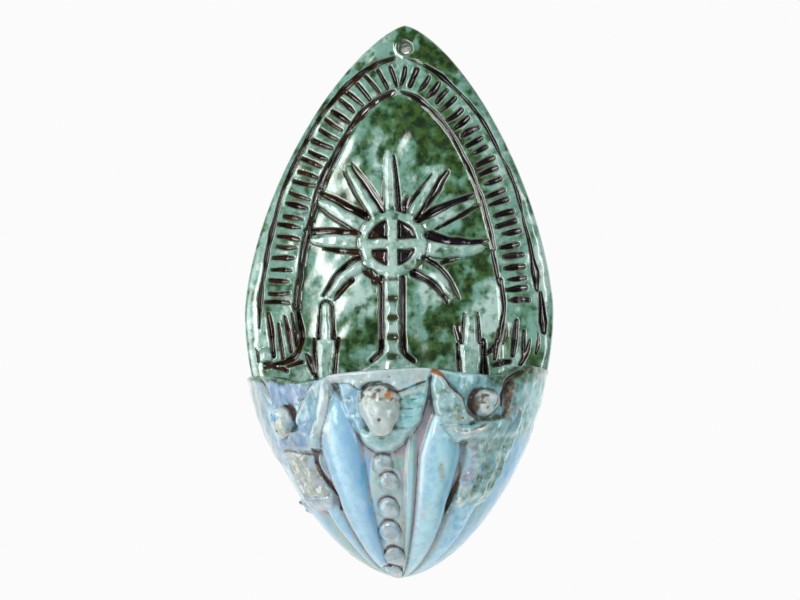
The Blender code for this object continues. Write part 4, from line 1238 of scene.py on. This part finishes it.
def build_bowl():
    """The bowl as one closed skin: outside, with everything modelled on it, smooth inside, and a rounded
    rim that green glaze ran over on both sides."""
    across, down = grid(*BOWL_GRID)
    turn = SWEEP * (across - 0.5)
    rim = spline(RIM, 400)
    top = np.interp(turn, rim[:, 0], rim[:, 1])
    eased = 1 - (1 - down) ** 1.25
    z = top + (PLATE_BOTTOM * 0.9999 - top) * eased
    below = top - z
    r = Relief(turn, z)
    r.lift = r.lift * smooth(below / 10) + 0.8
    for model in (model_cherub, model_lip, model_bosses, model_left_angel, model_right_angel):
        model(r)
    for hole_turn, hole_z, radius in PINHOLES:
        r.dome(hole_turn, hole_z, (radius, radius), -0.8, brown=1.0)
    band = np.exp(-((below / (2.4 + 1.6 * np.clip(wander(r.u, 0, 14, 91), -0.6, 2))) ** 2))
    r.paint(band * (between(-turn, 22, 34) + between(turn, 34, 46)), green=1.0, brown=0.2, figure=1.0)
    run = smooth(1.3 - below / (10 + 4 * r.unevenness))
    poured = between(turn, 38, 48) * between(-turn, -80, -66) * run
    r.paint(poured * r.mottle(9, 92, 0.8, 0.8), green=0.9, figure=1.0, teal=0.8)
    softened = blurred(blurred(r.lift, 1), 1)
    hand = 0.45 * wander(r.u, z, 34, 51) + 0.2 * wander(r.u, z, 10, 52) * (0.5 + r.tints["figure"])
    rounding = 1.8 * (1 - np.sqrt(1 - (1 - np.clip(below / 2, 0, 1)) ** 2))
    lift = softened + (hand - 0.8) * smooth(below / 6) - rounding
    outside = on_bowl(turn, z, lift)
    z_in = top + (CAVITY_BOTTOM - top) * eased
    closing = 1 - np.sqrt(np.clip(1 - ((top - z_in) / (top - CAVITY_BOTTOM)) ** 4, 0, 1))
    thick = WALL + closing * (np.minimum(half_width(z_in), front_depth(z_in)) - WALL)
    inside = on_bowl(turn, z_in, -thick)
    points = np.concatenate([inside.reshape(-1, 3), outside.reshape(-1, 3)])
    points[:, 1] = np.minimum(points[:, 1], -0.5)
    skin, count = grid_faces(*z.shape), z.size
    index = np.arange(count).reshape(z.shape)
    border = np.concatenate([index[0, :-1], index[:-1, -1], index[-1, :0:-1], index[:0:-1, 0]])
    after = np.roll(border, -1)
    sides = np.stack([border, after, after + count, border + count], axis=-1)
    faces = np.concatenate([skin, skin[:, ::-1] + count, sides])
    bowl = mesh_object("bowl", points, faces.tolist())

    def give(name, layer):
        """A layer known on the outside, and nought on the inside."""
        give_layer(bowl, name, np.concatenate([0 * layer.ravel(), layer.ravel()]))

    for name, layer in r.tints.items():
        give(name, blurred(layer, 1))
    give("ridge", np.clip((lift - blurred(lift, 2)) / 0.2, -3, 3))
    give("hollow", np.clip(blurred(lift, 8) - lift, -3, 3))
    give("turn", turn / 90)
    give("across", r.across * r.tints["lobe"])
    return reduced(bowl, MOST_TRIANGLES)


# ------------------------------------------------------------------ glaze


def colour(code):
    """A colour from its six-figure code, as linear values."""
    parts = [int(code[k : k + 2], 16) / 255 for k in (0, 2, 4)]
    return tuple(c / 12.92 if c <= 0.04045 else ((c + 0.055) / 1.055) ** 2.4 for c in parts) + (1.0,)


class Value:
    """A socket that can be used in sums."""

    def __init__(self, nodes, socket):
        self.nodes, self.socket = nodes, socket

    def maths(self, operation, first, second):
        return self.nodes.node("ShaderNodeMath", {"operation": operation}, {0: first, 1: second})

    def __add__(self, other):
        return self.maths("ADD", self, other)

    def __sub__(self, other):
        return self.maths("SUBTRACT", self, other)

    def __rsub__(self, other):
        return self.maths("SUBTRACT", other, self)

    def __mul__(self, other):
        return self.maths("MULTIPLY", self, other)

    def __abs__(self):
        return self.maths("ABSOLUTE", self, 0.0)

    __radd__ = __add__
    __rmul__ = __mul__

    def at_least(self, other):
        return self.maths("MAXIMUM", self, other)


class Nodes:
    """A node tree that grows as its values are worked out."""

    def __init__(self, tree, place):
        self.tree = tree
        self.place = self.node("ShaderNodeTexCoord", output=place)

    def node(self, kind, settings=(), inputs=(), output=0):
        """A new node: its settings first, then a value or a link for each socket."""
        made = self.tree.nodes.new(kind)
        for name, value in dict(settings).items():
            setattr(made, name, value)
        for name, value in dict(inputs).items():
            if isinstance(value, Value):
                self.tree.links.new(value.socket, made.inputs[name])
            else:
                made.inputs[name].default_value = value
        return Value(self, made.outputs[output])

    def part(self, axis):
        """One coordinate of the place."""
        return self.node("ShaderNodeSeparateXYZ", {}, {0: self.place}, axis)

    def layer(self, name):
        """A number kept on the vertices."""
        return self.node("ShaderNodeAttribute", {"attribute_name": name}, output="Fac")

    def step(self, value, low, high):
        """A soft step from 0 at low to 1 at high."""
        inputs = {"Value": value, "From Min": low, "From Max": high}
        return self.node("ShaderNodeMapRange", {"interpolation_type": "SMOOTHSTEP"}, inputs)

    def cloud(self, size, detail=3.0, rough=0.55, stretch=(1, 1, 1), shift=0.0):
        """Uneven noise between 0 and 1 whose blotches are about this size."""
        inputs = {"Vector": self.place, "Scale": stretch, "Location": (shift, shift, shift)}
        place = self.node("ShaderNodeMapping", {}, inputs)
        inputs = {"Vector": place, "Scale": 1 / size, "Detail": detail, "Roughness": rough}
        return self.node("ShaderNodeTexNoise", {}, inputs)

    def mixed(self, first, second, share):
        """A colour between two colours, given as values or as six-figure codes."""
        first, second = (colour(c) if isinstance(c, str) else c for c in (first, second))
        inputs = {"Factor": share, 6: first, 7: second}
        return self.node("ShaderNodeMix", {"data_type": "RGBA"}, inputs, 2)

    def blend(self, first, second, value, low, high, most=None):
        """A colour that turns from the first to the second, or most of the way, as a value steps from low to
        high."""
        share = self.step(value, low, high)
        return self.mixed(first, second, share if most is None else share * most)


class Glaze(Nodes):
    """A material whose nodes are added as its colours are worked out."""

    def __init__(self, name, **plain):
        self.material = bpy.data.materials.new(name)
        self.material.use_nodes = True
        super().__init__(self.material.node_tree, "Object")
        self.shader = self.tree.nodes["Principled BSDF"]
        for socket, value in plain.items():
            self.shader.inputs[socket.replace("_", " ")].default_value = value

    def drive(self, socket, value):
        """Feeds one socket of the shader."""
        self.tree.links.new(value.socket, self.shader.inputs[socket])

    def bumped(self, *layers):
        """Stacks fine bumps: each layer is its height value and its size in metres."""
        normal = None
        for height, size in layers:
            inputs = {"Height": height, "Distance": size, "Strength": 1.0}
            if normal is not None:
                inputs["Normal"] = normal
            normal = self.node("ShaderNodeBump", {}, inputs)
        self.drive("Normal", normal)


def plate_glaze():
    """Copper-green glaze: teal, milky in places, mottled with bottle green where it ran, near black in the
    cuts with a brown or purple tinge, and bare clay in the hole and behind. Painted shade darkens the
    hollows and rings the cuts, and painted highlights lie pale on the sharpest ridges and down the borders."""
    g = Glaze("copper_green_glaze", Roughness=0.12, IOR=1.75, Coat_Weight=0.6, Coat_Roughness=0.05)
    pooled, field, form = g.layer("pooled"), g.layer("field"), g.layer("form")
    ridge, hollow, bored = g.layer("ridge"), g.layer("hollow"), g.layer("bored")
    green, pale, near = g.layer("green"), g.layer("pale"), g.layer("near")
    big, mid, small = g.cloud(20 * MM, 3), g.cloud(8 * MM, 4, 0.6, shift=3), g.cloud(2.4 * MM, 3, shift=7)
    spots, grain = g.cloud(9 * MM, 3, 0.45, shift=19), g.cloud(1.1 * MM, 2, shift=23)
    blots = g.cloud(5 * MM, 2, 0.5, shift=31)
    rightward = g.part("X")
    body = g.blend("7aa598", "527e6e", mid + 0.3 * small, 0.52, 0.82)
    # Paler milky glaze; down the two borders the pale layer is a painted highlight.
    body = g.blend(body, "b0cdc5", 0.30 * pale + mid + 0.12 * form, 0.50, 0.72, 0.95)
    stain = 0.75 * spots + 0.25 * blots + 0.16 * big
    stain = stain + 0.05 * field + 0.26 * green - 0.14 * pale - 0.04 * form
    body = g.blend(body, "47784f", stain, 0.53, 0.74, 0.85)
    deep = g.blend("405820", "162a12", blots + 0.3 * small, 0.46, 0.78)
    deep = g.blend(deep, "35603a", mid, 0.48, 0.66, 0.5)
    body = g.blend(body, deep, stain + 0.12 * (small - 0.5), 0.59, 0.82, 0.95)
    body = g.blend(body, "152a16", blots + 0.2 * spots + 0.15 * small, 0.72, 0.94, 0.65)
    # Painted shade: dark green in the hollows of the relief, over glaze that pools there.
    body = g.blend(body, "1d3a22", hollow + 0.5 * small, 0.45, 1.5, 0.85)
    # Painted shade: a soft olive-brown ring round the cuts.
    shade_halo = g.blend("2c4520", "3d2f1c", blots, 0.44, 0.60)
    ringed = near + 0.7 * (mid - 0.5) + 0.5 * (big - 0.5) + 0.15 * (small - 0.5)
    body = g.blend(body, shade_halo, ringed, 0.14, 0.50, 0.95)
    body = g.blend(body, "31361a", pooled + 0.3 * grain, 0.12, 0.46, 0.9)
    tinge = g.blend("3a2015", "1e1526", rightward + 0.05 * (mid - 0.5), -0.03, 0.01)
    dark = g.blend("0d0a08", tinge, spots + 0.3 * small, 0.52, 0.80)
    body = g.blend(body, dark, pooled + 0.4 * small + 0.35 * (mid - 0.5), 0.50, 0.98)
    # Painted highlight: pale along the sharpest ridges and lips.
    body = g.blend(body, "b4c9be", ridge, 1.0, 2.8, 0.12)
    body = g.blend(body, "1b3324", grain + 0.4 * small, 0.96, 1.06, 0.8)
    clay = g.blend("24120c", "7d5040", small + 0.3 * grain, 0.55, 0.80)
    body = g.mixed(body, clay, bored)
    back = g.step(g.part("Y"), -1.2 * MM, -0.4 * MM)
    body = g.mixed(body, "b8704a", back)
    g.drive("Base Color", body)
    g.drive("Roughness", 0.08 + 0.10 * mid + 0.5 * bored + 0.6 * back)
    g.drive("Coat Weight", 0.6 * (1 - back.at_least(bored)))
    g.bumped((g.cloud(24 * MM, 1, shift=11), 1.3 * MM), (g.cloud(5 * MM, 2, shift=5), 0.10 * MM))
    return g.material


def bowl_glaze():
    """Sky-blue glaze over the lobes, greyer between them, tinted by hand on the figures, and brown in the
    seams. Over it lie painted light and shade: deeper blue down each lobe's right flank, paler on its left,
    lilac in the valleys, darker in hollows, and paler on raised parts and ridges."""
    g = Glaze("sky_blue_glaze", Roughness=0.2, IOR=1.55, Coat_Weight=0.5, Coat_Roughness=0.06)
    ridge, hollow, turn, across = (g.layer(name) for name in ("ridge", "hollow", "turn", "across"))
    tint = {name: g.layer(name) for name in (*TINTS, "lobe")}
    big, mid, small = g.cloud(20 * MM, 3), g.cloud(6 * MM, 4, 0.6, shift=3), g.cloud(1.7 * MM, 3, shift=7)
    streak, patch = g.cloud(9 * MM, 4, 0.6, (1, 1, 0.4), 13), g.cloud(5 * MM, 3, shift=17)
    fleck = g.cloud(0.9 * MM, 2, shift=23)
    right = g.step(turn + 0.4 * (big - 0.5), -0.05, 0.25)
    blue = g.mixed("a3cbe2", "a6d4e2", right)
    deep = g.mixed("82b0d6", "7fbbd2", right)
    # Painted light across each lobe: deeper blue down its right flank as painted shade, pale lilac on its
    # left flank as painted highlight.
    blue = g.blend(blue, deep, 0.6 * across + 0.9 * streak, 0.40, 0.95)
    blue = g.blend(blue, "b2b6d0", 0.9 * patch - 0.5 * across, 0.55, 1.0, 0.6)
    blue = g.blend(blue, "7fb6bc", mid + 0.3 * small, 0.60, 0.82, 0.55)
    blue = g.blend(blue, "a8a59a", big + 0.6 * patch, 0.92, 1.15, 0.4)
    grey = g.blend("94b4bd", "7ba59b", big + 0.5 * mid, 0.6, 0.95)
    grey = g.blend(grey, "b3b39c", patch + 0.4 * small, 0.62, 0.92, 0.6)
    # Painted shade: lilac in the hollows between the lobes.
    grey = g.blend(grey, "a89cac", hollow + 0.9 * mid, 0.75, 1.3, 0.85)
    body = g.blend(grey, blue, tint["lobe"] + 0.4 * (mid - 0.5), 0.45, 0.9)
    press = g.blend("a0c0c8", "7fa3a8", mid + 0.3 * big, 0.5, 0.8)
    press = g.mixed(press, g.blend("90c6c8", "5f9ca2", patch, 0.40, 0.66), tint["teal"])
    press = g.mixed(press, g.blend("86a9c6", "5f86ac", mid, 0.35, 0.66), tint["azure"] * 0.9)
    cream = g.blend("c6c5ae", "8f9676", mid + 0.4 * small, 0.60, 0.90)
    press = g.mixed(press, cream, tint["cream"] * 0.8)
    press = g.mixed(press, "a8a2c6", tint["lilac"] * g.step(patch + 0.2 * small, 0.38, 0.75) * 0.8)
    press = g.blend(press, "7ba3c4", streak + 0.3 * small, 0.68, 0.86, 0.45)
    press = g.blend(press, "74805a", patch + 0.5 * small, 0.74, 0.98, 0.5)
    press = g.mixed(press, "d8dcdb", tint["pale"] * g.step(mid + 0.4 * small, 0.45, 0.95) * 0.9)
    body = g.mixed(body, press, tint["figure"])
    sky = g.blend("70bce0", "48a2d2", streak, 0.40, 0.66)
    body = g.mixed(body, sky, tint["sky"] * g.step(patch + 0.6 * streak, 0.55, 0.95))
    # Painted highlight: paler along the ridges.
    body = g.blend(body, "d3dedd", ridge + 1.2 * (mid - 0.5), 0.8, 2.4, 0.3)
    line = g.blend("4a5138", "4a2c18", patch, 0.38, 0.54)
    body = g.blend(body, line, 1.8 * (mid - 0.5) - ridge, 0.7, 1.9, 0.9)
    # Painted highlight paler on raised parts, and painted shade darker in hollows, over glaze that pools
    # there.
    body = g.blend(body, "c9dcdf", 0.9 * (mid - 0.5) - hollow, 0.5, 2.0, 0.35)
    body = g.blend(body, "44666c", hollow + 1.2 * (mid - 0.5), 0.6, 2.4, 0.55)
    green = g.blend("5a8868", "2e3c1c", mid + 0.3 * small, 0.55, 0.75)
    body = g.blend(body, green, tint["green"] + 0.5 * (mid - 0.5), 0.15, 0.7, 0.9)
    rust = g.blend("7a431d", "b06a36", small, 0.35, 0.6)
    body = g.blend(body, rust, tint["rust"] + 0.8 * (small - 0.5) + 0.5 * (mid - 0.5), 0.3, 0.75)
    # Brown in the seams and joints; beside the robe, round the angels' heads and under a chin this brown is
    # painted shade.
    crease = g.blend("1a0f0b", "54392a", small + 0.3 * mid, 0.5, 0.85)
    body = g.blend(body, crease, tint["brown"] + 0.6 * (mid - 0.5) + 0.4 * (small - 0.5), 0.25, 0.85)
    body = g.blend(body, "dfe3e2", fleck + 0.25 * patch, 0.82, 0.98, 0.35)
    body = g.blend(body, "4d5a48", fleck + 0.25 * patch, 0.38, 0.30, 0.5)
    g.drive("Base Color", body)
    g.drive("Roughness", 0.14 + 0.16 * mid + 0.3 * tint["rust"] + 0.25 * tint["brown"])
    g.bumped((g.cloud(8 * MM, 2, shift=11), 0.6 * MM), (g.cloud(3 * MM, 2, shift=5), 0.14 * MM))
    return g.material


# ------------------------------------------------------------------ studio

VIEW_TURN = 6.5
VIEW_RISE = -5.0
VIEW_DISTANCE = 1.32
VIEW_AIM = Vector((0.0, -10 * MM, -142.5 * MM))
LENS = 96.4

# Softboxes: name, turn, rise, width and height, power. Both stand LAMP_DISTANCE away.
LAMP_DISTANCE = 1.5
SOFTBOXES = (
    ("left_softbox", -38, 14, (0.45, 0.8), 21),
    ("right_softbox", 50, -6, (0.4, 0.95), 6),
)

WHITE = (1.0, 1.0, 1.0, 1.0)
FLOOR_GREY = (0.62, 0.60, 0.65, 1.0)
FLOOR_GLOW = 0.34

# The surroundings' brightness: seen by the camera; mirrored from the dark room and from the paper behind;
# and as light from all round, from below and from the paper behind.
PAPER_SEEN = 0.965
ROOM_MIRRORED, PAPER_MIRRORED = 0.05, 1.1
LIGHT_ROUND, LIGHT_BELOW, LIGHT_BEHIND = 0.22, 0.26, 0.8


def aimed(name, data, turn, rise, distance):
    """A lamp or camera that looks at the font from this turn to the right, this rise and this distance."""
    a, e = math.radians(turn), math.radians(rise)
    way = Vector((math.sin(a) * math.cos(e), -math.cos(a) * math.cos(e), math.sin(e)))
    made = linked(name, data)
    made.location = VIEW_AIM + distance * way
    made.rotation_euler = (-way).to_track_quat("-Z", "Y").to_euler()
    return made


def add_camera():
    """A long lens a little to the right and a little below the middle of the font."""
    data = bpy.data.cameras.new("camera")
    data.lens = LENS
    bpy.context.scene.camera = aimed("camera", data, VIEW_TURN, VIEW_RISE, VIEW_DISTANCE)


def add_softbox(name, turn, rise, size, power):
    """A large flat lamp that looks at the font and leaves no reflection of its own."""
    data = bpy.data.lights.new(name, "AREA")
    data.shape = "RECTANGLE"
    data.size, data.size_y = size
    data.energy = power
    aimed(name, data, turn, rise, LAMP_DISTANCE).visible_glossy = False


def add_floor():
    """A pale floor just under the tip, which fades into the white surroundings."""
    outward, around = grid(2, 97)
    turn, reach = 2 * np.pi * around, 1 + 600 * outward
    points = np.stack([reach * np.cos(turn), reach * np.sin(turn), 0 * turn + LOW.z / MM - 1], axis=-1)
    floor = mesh_object("floor", points, grid_faces(2, 97).tolist())
    g = Glaze("floor_paper", Roughness=0.9, Base_Color=FLOOR_GREY, Emission_Color=WHITE,
        Emission_Strength=FLOOR_GLOW)
    fade = g.node("ShaderNodeVectorMath", {"operation": "LENGTH"}, {0: g.place}, "Value")
    g.drive("Alpha", 1 - g.step(fade, 0.08, 0.24))
    floor.data.materials.append(g.material)


# What the glaze mirrors, as soft-edged windows in a dim room: turn and rise of the middle, half-sizes in
# degrees, softness of the edge, brightness.
WINDOWS = (
    (-25, 2, 5.5, 17, 5.5, 11),
    (-60, -14, 16, 28, 14.0, 5),
    (47, 4, 4.0, 20, 6.0, 8),
    (0, -78, 180, 30, 14.0, 1.6),
)


def add_surroundings():
    """White paper behind, an even fill, and a dim room with a few bright windows for the glaze to
    mirror."""
    world = bpy.data.worlds.new("surroundings")
    world.use_nodes = True
    g = Nodes(world.node_tree, "Generated")
    x, y, z = (g.part(axis) for axis in "XYZ")
    turn = g.node("ShaderNodeMath", {"operation": "ARCTAN2"}, {0: x, 1: 0 - y}) * math.degrees(1)
    rise = g.node("ShaderNodeMath", {"operation": "ARCSINE"}, {0: z}) * math.degrees(1)
    mirrored = ROOM_MIRRORED + g.step(y, 0.1, 0.6) * PAPER_MIRRORED
    for at_turn, at_rise, wide, tall, soft, bright in WINDOWS:
        across, up = abs(turn - at_turn), abs(rise - at_rise)
        inside = g.step(across, wide + soft, wide - soft) * g.step(up, tall + soft, tall - soft)
        mirrored = mirrored + inside * bright
    fill = g.step(z, 0.7, -0.6) * LIGHT_BELOW + LIGHT_ROUND + g.step(y, -0.15, 0.25) * LIGHT_BEHIND
    seen = g.node("ShaderNodeLightPath", output="Is Camera Ray")
    glossy = g.node("ShaderNodeLightPath", output="Is Glossy Ray")
    strength = fill + glossy * (mirrored - fill)
    strength = strength + seen * (PAPER_SEEN - strength)
    background = g.tree.nodes["Background"].inputs
    g.tree.links.new(strength.socket, background["Strength"])
    background["Color"].default_value = WHITE
    bpy.context.scene.world = world


def build_studio():
    """Two softboxes, white surroundings, plain tones."""
    add_camera()
    for softbox in SOFTBOXES:
        add_softbox(*softbox)
    add_floor()
    add_surroundings()
    scene = bpy.context.scene
    scene.view_settings.view_transform = "Standard"
    scene.view_settings.look = "None"


# ------------------------------------------------------------------ putting it together


# Faces whose middle lies behind this are the flat back.
BACK_Y = -0.2 * MM


def finish_piece(piece, glaze):
    """Smooth shading all but the flat back, one glaze, and its place on the fired body."""
    faces = piece.data.polygons
    middles = np.empty((len(faces), 3), np.float32)
    faces.foreach_get("center", middles.ravel())
    faces.foreach_set("use_smooth", middles[:, 1] < BACK_Y)
    piece.data.materials.clear()
    piece.data.materials.append(glaze)
    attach(piece, "root")
    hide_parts(NODE)


def main():
    build_studio()
    finish_piece(build_plate(), plate_glaze())
    finish_piece(build_bowl(), bowl_glaze())


main()
